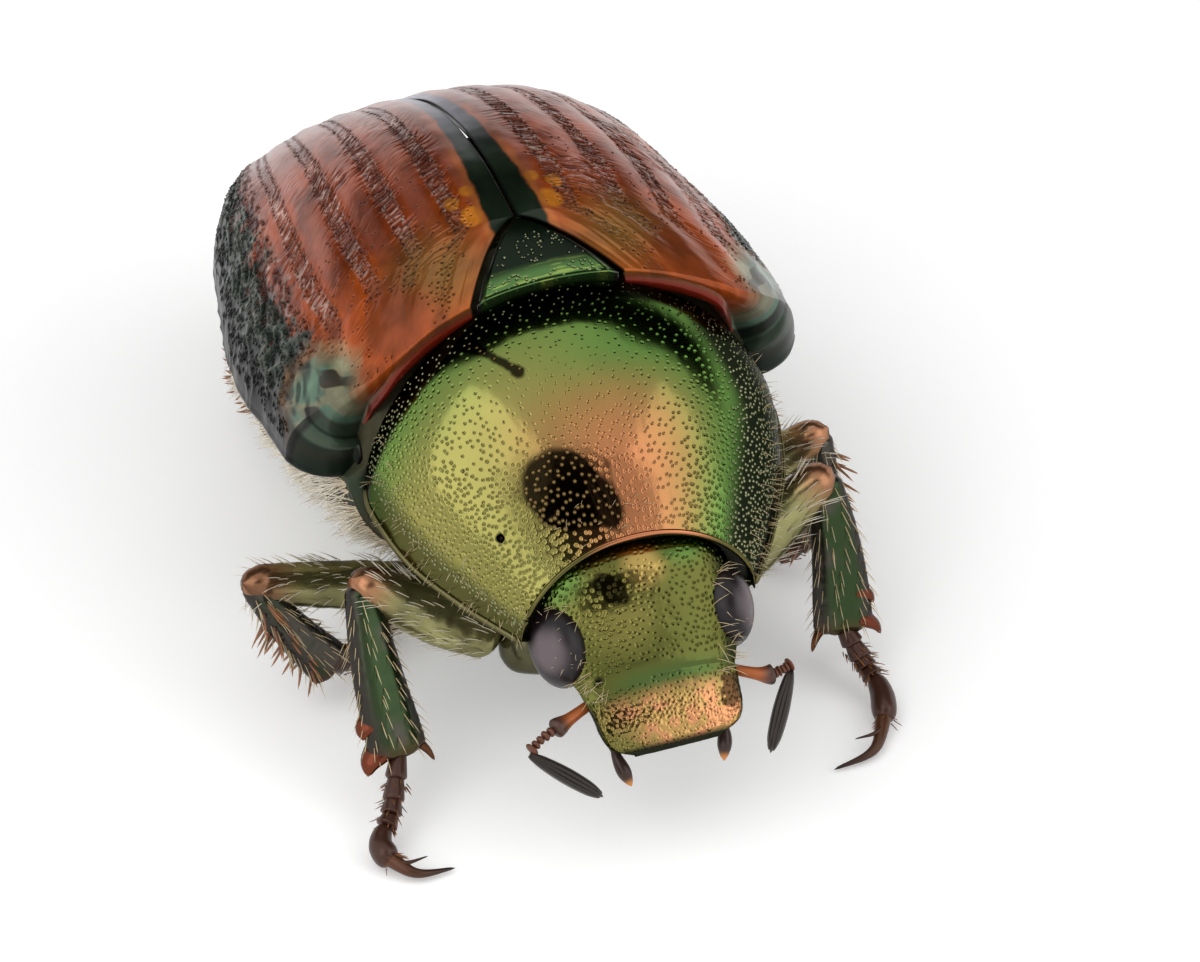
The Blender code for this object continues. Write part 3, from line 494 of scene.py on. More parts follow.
def hairs(kind, ending, roots, ways, places, stands_for, index=0, length=None, bend=DROOP):
    """One mesh of bent, tapered hairs. Each leaves its root along its way and bends as it goes."""
    usual, radius, curl, seed, look, slot = COATS[kind]
    rng = np.random.default_rng(SEED + 100 + seed + index)
    roots, ways, places = np.concatenate(roots), unit(np.concatenate(ways)), np.concatenate(places)
    count = len(roots)
    length = np.broadcast_to(usual if length is None else length, count)[:, None]
    length = length * rng.uniform(0.75, 1.2, (count, 1))
    turn = np.broadcast_to(bend, (count, 3)) + rng.normal(0.0, curl, (count, 3)) * 0.5
    side, up = square_ways(ways, 0.8)
    points, shares = [], []
    for k in HAIR_RINGS:
        centre = roots + ways * length * k + turn * length * k * k * 0.5
        for j in range(HAIR_SIDES):
            a = TAU * j / HAIR_SIDES
            points.append(centre + (side * math.cos(a) + up * math.sin(a)) * (radius * (1.0 - 0.55 * k)))
            shares.append(np.full(count, k))
    points.append(roots + ways * length + turn * length * 0.5)
    shares.append(np.ones(count))
    points, shares = np.stack(points, axis=1), np.stack(shares, axis=1)
    each = points.shape[1]
    faces = hair_faces()[None] + (np.arange(count) * each)[:, None, None]
    patch = np.stack([shares * 0.003, np.tile(np.arange(each) % 3, (count, 1)) * 0.0015], axis=-1)
    uv = (places[:, None, :] * 0.99 + patch).reshape(-1, 2)
    piece(kind + ending, points, faces.reshape(-1, 3), look, stands_for, {"share": shares.ravel()}, uv)


# The hind body's form.


def base_y(x):
    return HIND_FRONT_Y - HIND_BOW * (x / PRONOTUM_HALF_WIDTH) ** 2


def hind_half_width(s):
    fore = [(0.0, 1.0), (0.12, 1.0), (0.33, 1.0), (0.55, 0.933)]
    rear = [(0.8, 0.823), (0.9, 0.749), (1.0, 0.655), (1.12, 0.5)]
    return HIND_HALF_WIDTH * along(fore + rear, s)


def hind_crest(s):
    front = HIND_CREST_Z - (HIND_CREST_Z - SHOULDER_CREST_Z) * ((CREST_AT - s) / CREST_AT) ** 2
    k = np.maximum((s - CREST_AT) / (1.0 - CREST_AT), 0.0)
    return np.where(s < CREST_AT, front, HIND_CREST_Z - (HIND_CREST_Z - ELYTRA_END_Z) * k**2.2)


def hind_margin(s):
    return along([(0.0, 3.14), (0.3, 2.86), (0.65, 2.6), (1.0, 2.57)], s)


def hind_front_y(r, inset=0.0):
    x = (HIND_HALF_WIDTH - inset) * np.abs(r)
    return base_y(x) + SHOULDER_TURN * np.maximum(0.0, x - TURN_FROM) ** 2


def hind_end_y(r):
    return ELYTRA_END_Y - ELYTRA_END_ROUNDING * np.abs(r) ** 2.2


def hind_point(s, r, inset, y=None):
    """The hind body's surface at share s along and r across, an inset inside the wing cases."""
    margin = hind_margin(s)
    power = along([(0.0, 2.2), (0.5, 2.54), (1.0, 3.27)], s)
    root = along([(0.0, 2.14), (0.5, 1.62), (1.0, 2.5)], s)
    rise = (hind_crest(s) - inset - margin) * dome(r, power, root)
    if y is None:
        y = mix(hind_front_y(r, inset) + GAP, hind_end_y(r) - inset, s)
    return np.stack(np.broadcast_arrays((hind_half_width(s) - inset) * r, y, margin + rise), axis=-1)


def scutellum_half_width(y):
    k = np.clip((SCUTELLUM_TIP_Y - y) / (SCUTELLUM_TIP_Y - HIND_FRONT_Y), 0.0, 1.0)
    return SCUTELLUM_HALF_WIDTH * k**0.72


# The wing cases.

ELYTRON_ROWS, ELYTRON_COLUMNS = 500, 310
ELYTRON_LENGTH, ELYTRON_WIDTH = 5.9, 4.2  # over its curves
RIBS = 6
RIB_HEIGHT = 0.05
RIB_SHARE = 0.26  # the render's rib as a share of the solid's
FOLD_HEIGHT = 0.013
SHOULDER_BUMP = (2.72, -1.45, 3.95)
CALLUS = (1.7, -1.3, 4.6)
YELLOW_PATCH = (1.05, -0.9, 4.9)
YELLOW_DOTS = ((0.48, -0.28, 0.15), (0.62, 0.0, 0.11), (0.4, 0.12, 0.1))
COPPER_BROWN = (0.24, 0.042, 0.009)
ORANGE = (0.42, 0.075, 0.008)
# Of these, the rib pink is partly a painted highlight, the rear pink a painted sheen, the crest pale painted
# glints; the valley dark below is painted shade.
RIB_PINK_AND_HIGHLIGHT, REAR_PAINTED_SHEEN, CREST_PAINTED_GLINT = (0.28, 0.10, 0.07), (0.34, 0.24, 0.23), (0.56, 0.42, 0.37)
ROW_DARK, VALLEY_PAINTED_SHADE = (0.06, 0.014, 0.008), (0.05, 0.010, 0.006)
OLIVE, CALLUS_RED, DOT_YELLOW = (0.20, 0.11, 0.025), (0.25, 0.055, 0.015), (0.65, 0.22, 0.02)
# The grey is a faint painted glint on the wrinkle crests.
EDGE_GREEN, EDGE_CREST_GLINT = (0.006, 0.014, 0.008), (0.045, 0.05, 0.036)
SUTURE_ORANGE, SUTURE_GREEN, SUTURE_VIOLET = (0.4, 0.13, 0.03), (0.008, 0.016, 0.008), (0.12, 0.10, 0.17)
SHOULDER_RING, SHOULDER_GREEN = (0.27, 0.135, 0.06), (0.085, 0.15, 0.10)
SHOULDER_BEIGE, SHOULDER_MARK = (0.24, 0.21, 0.12), (0.02, 0.012, 0.008)
RIM_RED, RIM_BLACK = (0.16, 0.012, 0.004), (0.012, 0.01, 0.008)
LIP_BRONZE, LIP_GREEN, LIP_BLACK = (0.05, 0.05, 0.03), (0.045, 0.085, 0.055), (0.01, 0.01, 0.008)
# The seam colour is painted shade.
SEAM_PAINTED_SHADE = (0.008, 0.008, 0.007)


def elytron_grid():
    """Points of the left wing case, with the shares s along and q across at each."""
    s = (np.linspace(0.0, 1.0, ELYTRON_ROWS) ** 1.05)[:, None]
    q = np.linspace(0.0, 1.0, ELYTRON_COLUMNS)[None, :]
    y = mix(hind_front_y(0.0) + GAP, hind_end_y(0.0), s)
    inner = GAP / 2 * 0.5 + np.where(y < SCUTELLUM_TIP_Y + GAP, scutellum_half_width(y - GAP), 0.0)
    r = mix(inner / hind_half_width(s), 1.0, 1.0 - (1.0 - q) ** 1.25)
    return hind_point(s, r, 0.0), s + q * 0, q + s * 0


LIP_STOPS = (
    # share of the half width, then how far the body side edge lies inward, back and down from the front edge
    (0.0, 0.0, -0.01, -0.05),
    (0.45, 0.0, -0.01, -0.06),
    (0.62, 0.02, -0.02, -0.15),
    (0.77, -0.22, 0.2, -0.38),
    (0.87, -0.48, 0.14, -0.34),
    (0.93, -0.57, -0.05, -0.39),
    (0.96, -0.63, -0.25, -0.31),
    (1.0, -0.72, -0.37, -0.04),
)
LIP_STEPS = np.linspace(0.08, 1.0, 14)
LIP_BULGE = np.array([0.1, -0.16, -0.03])
RIM_STEPS = ((0.0, -0.05, -0.07), (-0.02, -0.06, -0.16), (-0.08, 0.4, -0.3))
# Offsets of the flanges behind, at the rear corner and at both sides, for the left wing case.
BACK_STEPS = ((0.0, 0.01, -0.02), (0.0, 0.01, -0.08), (0.0, -0.04, -0.16), (0.0, -0.3, -0.18))
CORNER_STEPS = ((0.0, 0.0, 0.0), (0.0, -0.01, -0.08), (-0.02, -0.04, -0.17), (-0.1, 0.0, -0.22))
INNER_STEPS = ((0.0, 0.0, -0.015), (0.01, 0.0, -0.06), (0.03, 0.0, -0.12), (0.4, 0.0, -0.16))
OUTER_STEPS = (
    (0.01, 0.0, -0.03), (0.0, 0.0, -0.07), (-0.05, 0.0, -0.1), (-0.2, 0.0, -0.08), (-0.35, 0.0, 0.02)
)


def stops_of(rows, k):
    return [(row[0], row[k]) for row in rows]


def elytron_lip(edge):
    """Offsets from the front edge down to the body, and on under it, for each column."""
    share = np.abs(edge[:, 0]) / HIND_HALF_WIDTH
    reach = np.stack([along(stops_of(LIP_STOPS, k), share) for k in (1, 2, 3)], axis=-1)
    size = np.linalg.norm(reach, axis=-1, keepdims=True)
    offsets = [reach * k + LIP_BULGE * size * 4 * k * (1 - k) for k in LIP_STEPS]
    return offsets + [reach + np.array(rim) for rim in RIM_STEPS]


def elytron_tint(points, s, q, rib, fold):
    """Copper brown with pink ribs, partly a painted highlight, green by the suture, the outer edge and the
    shoulder, with painted glints on the wrinkle crests, painted shade in their valleys and a painted sheen
    towards the rear.
    """
    across, y, z = np.moveaxis(points, -1, 0)
    speck = rough(q * 30.0, s * 38.0, 31)
    orange = step(0.0, 0.7, rough(q * 6.0, s * 5.0, 40) + 0.5 * (1.0 - s)) * step(0.85, 0.35, s)
    dots = 0.0
    for dot_x, dot_y, size in YELLOW_DOTS:
        gap = np.hypot(across - dot_x, (y - dot_y) * 0.8) + 0.02 * speck
        dots = np.maximum(dots, step(size, size * 0.6, gap))
    edge = step(0.72, 0.82, q + 0.06 * speck - 0.05 * s + 0.04 * fold)
    # Greyer wrinkle crests in the outer band: a faint painted glint.
    edge_tint = painted(points.shape, EDGE_GREEN, (EDGE_CREST_GLINT, step(0.35, 1.0, fold)))
    band_edge = mix(0.39, 0.2, step(0.0, 0.75, s))
    near_band = step(0.09, 0.03, np.abs(across - band_edge)) * 0.6 * step(0.7, 0.2, s)
    band = step(band_edge, band_edge - 0.05, across - 0.02 * speck)
    band_tint = painted(points.shape, SUTURE_GREEN, (SUTURE_VIOLET, step(0.35, 0.9, s)))
    near_bump = spot(points, SHOULDER_BUMP, 1.15) + 0.07 * speck
    shoulder = step(0.35, 0.72, near_bump)
    beige = step(-0.1, 0.5, rough(across * 5.0, y * 4.0 + z * 4.0, 47) + (2.75 - across) * 1.2)
    marks = step(0.36, 0.52, noise(across * 9.0, y * 5.0 + z * 6.0, 46))
    tint = painted(
        points.shape,
        COPPER_BROWN,
        (ORANGE, orange * 0.8),
        # Pink ribs towards the front: partly their own colour, partly a painted highlight.
        (RIB_PINK_AND_HIGHLIGHT, step(0.0, 0.8, rib) * step(0.0, 0.4, s) * 0.5),
        (ROW_DARK, step(-0.1, -0.9, rib) * 0.5),
        # Painted glints on the wrinkle crests.
        (CREST_PAINTED_GLINT, step(0.6, 0.98, fold) * 0.6),
        # Painted shade in the wrinkle valleys.
        (VALLEY_PAINTED_SHADE, step(0.1, -0.7, fold) * 0.65),
        # Painted pink sheen towards the rear, where the sky glances off.
        (REAR_PAINTED_SHEEN, step(0.45, 0.95, s) * 0.5),
        (OLIVE, spot(points, YELLOW_PATCH, 1.0) * 0.85),
        (CALLUS_RED, step(0.0, 0.5, spot(points, CALLUS, 0.7)) * 0.75),
        (DOT_YELLOW, dots * 0.9),
        (edge_tint, edge),
        (SUTURE_ORANGE, near_band),
        (band_tint, band),
        (SHOULDER_RING, step(0.16, 0.42, near_bump) * 0.85),
        (SHOULDER_GREEN, shoulder),
        (SHOULDER_BEIGE, beige * shoulder * 0.75),
        (SHOULDER_MARK, marks * shoulder * 0.9),
    )
    cloud = rough(q * 9.0 + 2.0 * s, s * 11.0, 33)
    return np.clip(tint * (1.0 + 0.16 * speck + 0.3 * cloud)[..., None], 0.003, 1.0)


def elytron_pits(rng, points, s):
    """Paired rows of small pits between the ribs, coarse ones by the outer edge, few ones near the base."""
    rows, columns = points.shape[:2]
    pits = []

    def add(place, at_q, sizes, depths):
        pit = (np.interp(place, s[:, 0], np.arange(rows)), at_q * (columns - 1))
        size, depth = rng.uniform(*sizes), rng.uniform(*depths)
        centre = points[min(int(pit[0]), rows - 1), min(int(pit[1]), columns - 1)]
        if np.linalg.norm(centre - SHOULDER_BUMP) > 0.6 and np.linalg.norm(centre - CALLUS) > 0.45:
            pits.append((*pit, size, depth))

    for k in range(1, RIBS):
        for aside in (-0.02, 0.02):
            place = 0.05
            while place < 0.97:
                add(place, k / RIBS + aside + rng.normal(0.0, 0.003), (0.019, 0.026), (0.014, 0.021))
                place += rng.uniform(0.010, 0.015)
    for _ in range(1500):
        add(rng.uniform(0.02, 0.98), rng.uniform(0.73, 0.985), (0.02, 0.034), (0.012, 0.026))
    for _ in range(260):
        add(rng.uniform(0.01, 0.5) ** 1.3, rng.uniform(0.1, 0.7), (0.016, 0.024), (0.006, 0.012))
    return pits


def elytron_folds(points, s, q, rib, seed):
    """The wrinkles between the ribs: their waves, from 1 on a crest down, and their strength."""
    length, width = s * ELYTRON_LENGTH, q * ELYTRON_WIDTH
    lean = rough(width * 1.3, length * 0.9, seed + 9) * 0.5
    wave = rough(width * 4.5 + lean * 2.0, (length + width * 0.45 + lean * 0.3) * 19.0, seed, 2)
    flow = rough(width * 10.0 + length * 3.0 + lean * 2.0, length * 2.6 - width * 1.5, seed + 20, 1)
    fold = 1.0 - 2.2 * np.abs(mix(wave, flow, step(0.64, 0.76, q)))
    between = step(0.15 + 0.5 * noise(width * 2.0, length * 1.2, seed + 31), -0.75, rib)
    patches = step(0.0, 0.7, rough(width * 1.6, length * 1.3, seed + 37)) * step(0.8, 0.5, s)
    between = np.maximum(between, patches * 0.75)
    middle = step(0.05, 0.3, s) * step(0.95, 0.5, s)
    edge = 0.9 * step(0.68, 0.8, q) * step(0.02, 0.1, s) * step(1.0, 0.93, q)
    strength = (between * middle * 0.85 + 0.08 + edge) * step(0.05, 0.2, q)
    smooth = np.maximum(spot(points, SHOULDER_BUMP, 0.8), spot(points, CALLUS, 0.65))
    return fold, strength * (1.0 - step(0.1, 0.5, smooth))


def tint_elytron_edges(tags, under, front):
    """Colours the lip, which ends at row front, and the rim below it, which ends at row under."""
    tint, pit = tags["tint"], tags["pit"]
    tint[:under] = RIM_RED
    tint[under] = mix(tint[under], np.array(LIP_BRONZE), 0.6)
    outer = step(0.75, 0.88, np.linspace(0.0, 1.0, tint.shape[1]))[None, :, None]
    shoulder_layers = (
        (slice(0, under), RIM_BLACK, 1.0),
        (slice(under, front), LIP_GREEN, 0.8),
        (slice(front - 1, front + 2), LIP_BLACK, 0.9),
    )
    for rows, colour, amount in shoulder_layers:
        tint[rows] = mix(tint[rows], np.array(colour), outer * amount)
    pit[:front] = np.maximum(pit[:front], outer[..., 0] * 0.4)


def make_elytron(side):
    sign = SIDES[side]
    mirror = np.array([sign, 1.0, 1.0])
    rng = np.random.default_rng(SEED + (1 if side == "left" else 2))
    seed = 60 if side == "left" else 70
    points, s, q = elytron_grid()
    rib = -np.cos(TAU * RIBS * q)
    fade = np.clip(np.minimum(np.minimum(s / 0.12, (1.0 - s) / 0.1), (1.0 - q) * 8.0), 0.0, 1.0)
    length, width = s * ELYTRON_LENGTH, q * ELYTRON_WIDTH
    fold, strength = elytron_folds(points, s, q, rib, seed)
    streak = step(0.3, 0.8, spot(points, YELLOW_PATCH, 1.1)) * noise(width * 14.0, length * 2.5, seed + 3)
    relief = RIB_HEIGHT * RIB_SHARE * rib * fade + fold * FOLD_HEIGHT * strength + streak * 0.006
    relief = relief + rough(width * 1.5, length * 1.5, seed + 5) * 0.01
    tint = elytron_tint(points, s, q, rib * fade, fold * np.minimum(strength * 1.4, 1.0))
    pits = elytron_pits(rng, points, s)
    points[..., 0] *= sign
    # The pit tag makes these places matt and darkens their colour: painted shade in the outer band's wrinkle
    # valleys, and a darker outermost strip.
    matt = np.maximum(step(0.7, 0.8, q) * step(0.5, -0.3, fold) * 0.75, step(0.9, 0.94, q) * 0.9)
    tags = {"tint": tint, "pit": matt}
    points, tags, turned = skin(points, tags, pits, 0.25, relief, centre=(sign * 1.2, 1.0, 2.0))
    lip = [offset * mirror for offset in elytron_lip(points[0])]
    corner = (step(0.36, 0.66, q[-1]) * step(1.0, 0.93, q[-1]))[:, None]
    back = [(near + corner * far) * mirror for near, far in zip(np.array(BACK_STEPS), np.array(CORNER_STEPS))]
    points, tags = pad_all(points, tags, lip, back, 0)
    tint_elytron_edges(tags, len(RIM_STEPS), len(lip))
    inner, outer = np.array(INNER_STEPS) * mirror, np.array(OUTER_STEPS) * mirror
    points, tags = pad_all(points, tags, inner, outer, 1)
    seam = len(INNER_STEPS)
    # The flange under the suture is painted near black and matt: painted shade in the gap between the wing
    # cases.
    tags["tint"][:, : seam - 1] = SEAM_PAINTED_SHADE
    tags["pit"][:, : seam - 1] = 1.0
    tags["pit"][:, seam - 1 : seam + 2] = 0.85
    sheet(f"wing_case_{side}", points, "elytra", f"elytron_{side}", tags, turned)


SCUTELLUM_GREEN, SCUTELLUM_STREAK = (0.08, 0.17, 0.05), (0.35, 0.45, 0.10)
SCUTELLUM_BLACK, SCUTELLUM_RIM = (0.007, 0.014, 0.007), (0.07, 0.065, 0.055)
PIT_PALE = (0.42, 0.44, 0.24)


def make_scutellum():
    rows, columns = 110, 150
    v = np.linspace(0.0, 1.0, rows)[:, None]
    t = np.linspace(-1.0, 1.0, columns)[None, :]
    y = mix(HIND_FRONT_Y + GAP * 0.6, SCUTELLUM_TIP_Y + 0.03, v)
    x = np.maximum(scutellum_half_width(y), 0.03) * t
    s = np.clip((y - hind_front_y(0.0) - GAP) / (ELYTRA_END_Y - HIND_FRONT_Y - GAP), 0.0, 1.0)
    r = x / hind_half_width(s)
    z = hind_point(s + r * 0, r, 0.0)[..., 2]
    y = y + (base_y(x) - HIND_FRONT_Y) * (1 - v)
    v, t = v + 0 * t, t + v * 0
    points = np.stack(np.broadcast_arrays(x, y, z + 0.02 - 0.03 * (1 - step(1.0, 0.86, np.abs(t)))), axis=-1)
    rng = np.random.default_rng(SEED + 5)
    pits = []
    for _ in range(90):
        place, across = rng.uniform(0.02, 0.75) ** 1.15, rng.uniform(-0.85, 0.85)
        pits.append((place * rows, (across + 1) / 2 * columns, rng.uniform(0.015, 0.021), 0.01))
    base = step(0.32, 0.12, v)
    streak = step(0.2, 0.7, rough(t * 3.0 + v, v * 40.0, 90)) * base
    tint = painted(
        points.shape,
        SCUTELLUM_BLACK,
        (SCUTELLUM_GREEN, base),
        (SCUTELLUM_STREAK, streak * 0.6),
        (SCUTELLUM_RIM, step(0.9, 0.97, np.abs(t))),
    )
    points, tags, turned = skin(points, {"tint": tint}, pits, 0.1, centre=(0.0, -1.0, 0.0))
    tags["tint"] = painted(points.shape, tags["tint"], (PIT_PALE, step(0.3, 0.9, tags["pit"]) * 0.7))
    drop = [(0.0, 0.0, -0.02), (0.0, 0.0, -0.12), (0.0, 0.0, -0.4)]
    points, tags = pad_all(points, tags, drop, drop, 0)
    points, tags = pad_all(points, tags, drop, drop, 1)
    sheet("scutellum_plate", points, "scutellum", "scutellum", tags, turned)


# The prothorax.

PRONOTUM_ROWS, PRONOTUM_COLUMNS = 340, 700
SHIELD_GREEN, SHIELD_OLIVE, SHIELD_LOW = (0.10, 0.20, 0.045), (0.29, 0.25, 0.075), (0.20, 0.19, 0.055)
SHIELD_BRONZE, SHIELD_COPPER = (0.29, 0.175, 0.06), (0.46, 0.185, 0.08)
# The dark shield colour and the black one are painted dark reflections; the tan one is painted light in pits
# within them.
SHIELD_REFLECTION_DARK, LENS_REFLECTION_BLACK, PIT_GLINT_TAN = (0.012, 0.016, 0.008), (0.010, 0.007, 0.004), (0.34, 0.22, 0.08)
PORE, PORE_BLACK = (-1.42, -3.83, 3.5), (0.01, 0.006, 0.004)
EDGE_BROWN, EDGE_OLIVE, EDGE_SALMON = (0.10, 0.09, 0.04), (0.10, 0.09, 0.03), (0.50, 0.19, 0.09)
# The wall colour is painted shade.
STERNUM_BRONZE, WALL_PAINTED_SHADE = (0.05, 0.055, 0.025), (0.015, 0.015, 0.01)


def pronotum_half_width(s):
    front = PRONOTUM_FRONT_HALF_WIDTH
    return along([(0.0, 2.40), (0.14, PRONOTUM_HALF_WIDTH), (0.45, 2.27), (0.75, 1.86), (1.0, front)], s)


def pronotum_margin(s):
    return along([(0.0, 3.08), (0.25, 2.92), (0.5, 2.74), (1.0, 2.48)], s)


def pronotum_crest(s):
    return along([(0.0, 4.92), (0.25, 4.90), (0.5, 4.62), (0.75, 4.15), (1.0, 3.5)], s)


def pronotum_floor(s):
    return along([(0.0, 1.25), (0.3, 1.1), (0.7, 1.2), (1.0, 1.55)], s)


def pronotum_y(s, r):
    front = mix(PRONOTUM_FRONT_Y, PRONOTUM_FRONT_CORNER_Y, r * r)
    return mix(base_y(pronotum_half_width(0.0) * r), front, s)


def pronotum_point(s, r, z):
    return np.stack(np.broadcast_arrays(pronotum_half_width(s) * r, pronotum_y(s, r), z), axis=-1)


def pronotum_top(s, r):
    margin = pronotum_margin(s)
    return pronotum_point(s, r, margin + (pronotum_crest(s) - margin) * dome(r, 2.2, 1.85))


def pronotum_under(s, r):
    margin = pronotum_margin(s)
    fall = (1.0 - np.abs(r) ** 1.3) ** 1.15
    return pronotum_point(s, r, margin - (margin - pronotum_floor(s)) * fall)


def pronotum_reflection_dark(s, r):
    """Where the shield is painted nearly black, a painted dark reflection: behind, on its left side and along
    its right edge.
    """
    right_edge = step(0.94, 0.985, -r) * 0.7
    left = r + 0.16 * step(0.5, 0.15, s)
    return np.maximum(np.maximum(step(0.15, 0.09, s), step(0.70, 0.84, left)), right_edge)


def pronotum_lens_reflection(s, r):
    """A painted reflection of the dark lens: the dark oval near the shield's front edge, and a small painted
    dark streak from the dark hind part.
    """
    wobble = 0.12 * noise(s * 14.0, r * 9.0, 17)
    power = 2.6
    aside = (np.abs(r + 0.31 - 0.55 * (s - 0.83)) / 0.27) ** power
    oval = (aside + (np.abs(s - 0.835 - 0.08 * r) / 0.15) ** power) ** (1 / power) + wobble
    t = np.clip((s - 0.08) / 0.27, 0.0, 1.0)
    aside = np.hypot((r + 0.46 - 0.15 * t**1.4) * 2.2, (s - 0.08 - 0.27 * t) * 2.6)
    swell = 0.13 * np.abs(t - 0.62) ** 1.5 + 0.012 * noise(s * 60.0, r * 40.0, 19)
    return np.maximum(step(1.0, 0.82, oval) * 0.96, step(0.065, 0.02, aside - swell) * 0.95)


def pronotum_tint(points, s, r):
    """Green behind, yellow green on the right, copper in front, and painted dark reflections on the edges and
    front.
    """
    tint = painted(
        points.shape,
        SHIELD_GREEN,
        (SHIELD_OLIVE, step(0.3, -0.5, r) * step(0.05, 0.45, s) * 0.85),
        (SHIELD_BRONZE, step(0.34, 0.66, s) * step(0.8, 0.15, np.abs(r)) * 0.8),
        (SHIELD_COPPER, step(0.38, 0.8, s) * step(0.7, 0.0, np.abs(r - 0.05))),
        (SHIELD_LOW, step(0.55, 0.95, s) * step(-0.3, -0.8, r) * 0.6),
        # Painted dark reflection behind and at the edges.
        (SHIELD_REFLECTION_DARK, pronotum_reflection_dark(s, r)),
        # Painted reflection of the dark lens, and its painted streak.
        (LENS_REFLECTION_BLACK, pronotum_lens_reflection(s, r)),
    )
    return np.clip(tint * (1.0 + 0.08 * rough(r * 3.0, s * 3.0, 12))[..., None], 0.003, 1.0)


def pronotum_pits(rng, r):
    """Pits on three lattices, closer and larger towards the sides and the front."""
    pits = []
    for spacing, low, high in ((12.0, -1.0, 0.3), (9.5, 0.3, 0.8), (7.6, 0.8, 2.0)):
        for row, column in scatter(rng, PRONOTUM_ROWS, PRONOTUM_COLUMNS, spacing, spacing, 0.36):
            at_s = row / (PRONOTUM_ROWS - 1)
            at_r = r[0, min(max(int(column), 0), PRONOTUM_COLUMNS - 1)]
            dense = float(step(0.35, 1.0, abs(at_r))) + 0.75 * float(step(0.35, 0.9, at_s))
            if not low <= dense < high or abs(at_r) > 0.985 or rng.uniform() > 0.92:
                continue
            size = mix(0.017, 0.0245, min(dense * 1.4, 1.0)) * rng.uniform(0.85, 1.1)
            if abs(at_r) < 0.45:
                size = min(size, 0.0205)
            pits.append((row, column, size, size * 0.55))
    return pits


def make_pronotum():
    s = np.linspace(0.0, 1.0, PRONOTUM_ROWS)[:, None]
    r = np.sin(np.linspace(math.pi / 2, -math.pi / 2, PRONOTUM_COLUMNS))[None, :]
    points = pronotum_top(s, r)
    s, r = s + r * 0, r + s * 0
    pits = pronotum_pits(np.random.default_rng(SEED + 11), r)
    pore = spot(points, PORE, 0.09)
    relief = -0.05 * step(0.2, 0.8, pore) + rough(r * 9.0, s * 6.0, 15) * 0.0015
    tint = painted(points.shape, pronotum_tint(points, s, r), (PORE_BLACK, step(0.1, 0.5, pore)))
    points, tags, turned = skin(points, {"tint": tint}, pits, 0.08, relief, centre=(0.0, -2.8, 1.0))
    in_pit = step(0.15, 0.75, tags["pit"])
    # Pits inside the painted dark reflections get painted light: pale in the dark parts, tan in the dark
    # oval.
    pale = in_pit * pronotum_reflection_dark(s, r) * 0.9
    tan = in_pit * step(0.5, 0.9, pronotum_lens_reflection(s, r)) * 0.8
    tags["tint"] = painted(points.shape, tags["tint"], (PIT_PALE, pale), (PIT_GLINT_TAN, tan))
    hind = [(0.0, 0.02, -0.01), (0.0, 0.03, -0.05), (0.0, 0.0, -0.15), (0.0, -0.1, -0.5)]
    fore = [(0.0, -0.015, -0.01), (0.0, -0.02, -0.04), (0.0, 0.02, -0.07), (0.0, 0.3, -0.1)]
    points, tags = pad_all(points, tags, hind, fore, 0)
    sheet("pronotum_shield", points, "pronotum", "pronotum", tags, turned)


def make_prosternum():
    """The underside of the prothorax and the near-black walls that close it behind and in front, painted
    shade in the gaps there.
    """
    s = np.linspace(0.0, 1.0, 90)[:, None]
    r = np.linspace(-0.998, 0.998, 160)[None, :]
    points = pronotum_under(s, r)
    relief = rough(r * 14.0, s * 10.0, 130) * 0.012
    form = {"relief": relief, "centre": (0.0, -3.0, 3.5)}
    tint = painted(points.shape, STERNUM_BRONZE)
    skin_sheet("prosternum", points, tint, "dark", "dark_cuticle", "pronotum", **form)
    r = np.linspace(-1, 1, 60)
    for label, at_s, y_shift in (("hind", 0.0, -0.03), ("fore", 1.0, 0.12)):
        ring = np.concatenate([pronotum_top(at_s, np.linspace(1, -1, 60)), pronotum_under(at_s, r)])
        middle = ring.mean(axis=0)
        shares = np.array([1.0, 0.8, 0.5, 0.02])[:, None, None]
        points = middle + (ring - middle)[None] * shares * 0.985 + np.array([0.0, y_shift, 0.0])
        form = {"wrap": True, "centre": (0.0, -3.0, 2.8)}
        # The walls are near black: painted shade.
        tint = painted(points.shape, WALL_PAINTED_SHADE)
        skin_sheet(f"prothorax_wall_{label}", points, tint, "dark", "dark_cuticle", "pronotum", **form)


def make_pronotum_edges():
    """The thin bead round the shield."""
    s, r = np.linspace(0.0, 1.0, 90), np.linspace(-1.0, 1.0, 130)
    for side, sign in SIDES.items():
        path = pronotum_top(s, np.full_like(s, sign))
        bead(f"pronotum_edge_{side}", path, 0.042, EDGE_BROWN)
    path = pronotum_top(np.ones_like(r), r) + np.array([0.0, -0.012, 0.0])
    salmon = (step(-0.5, -0.05, r) * step(0.75, 0.4, r))[:, None]
    bead("pronotum_edge_fore", path, 0.03, painted((len(r), 1, 3), EDGE_OLIVE, (EDGE_SALMON, salmon)))


# The head.

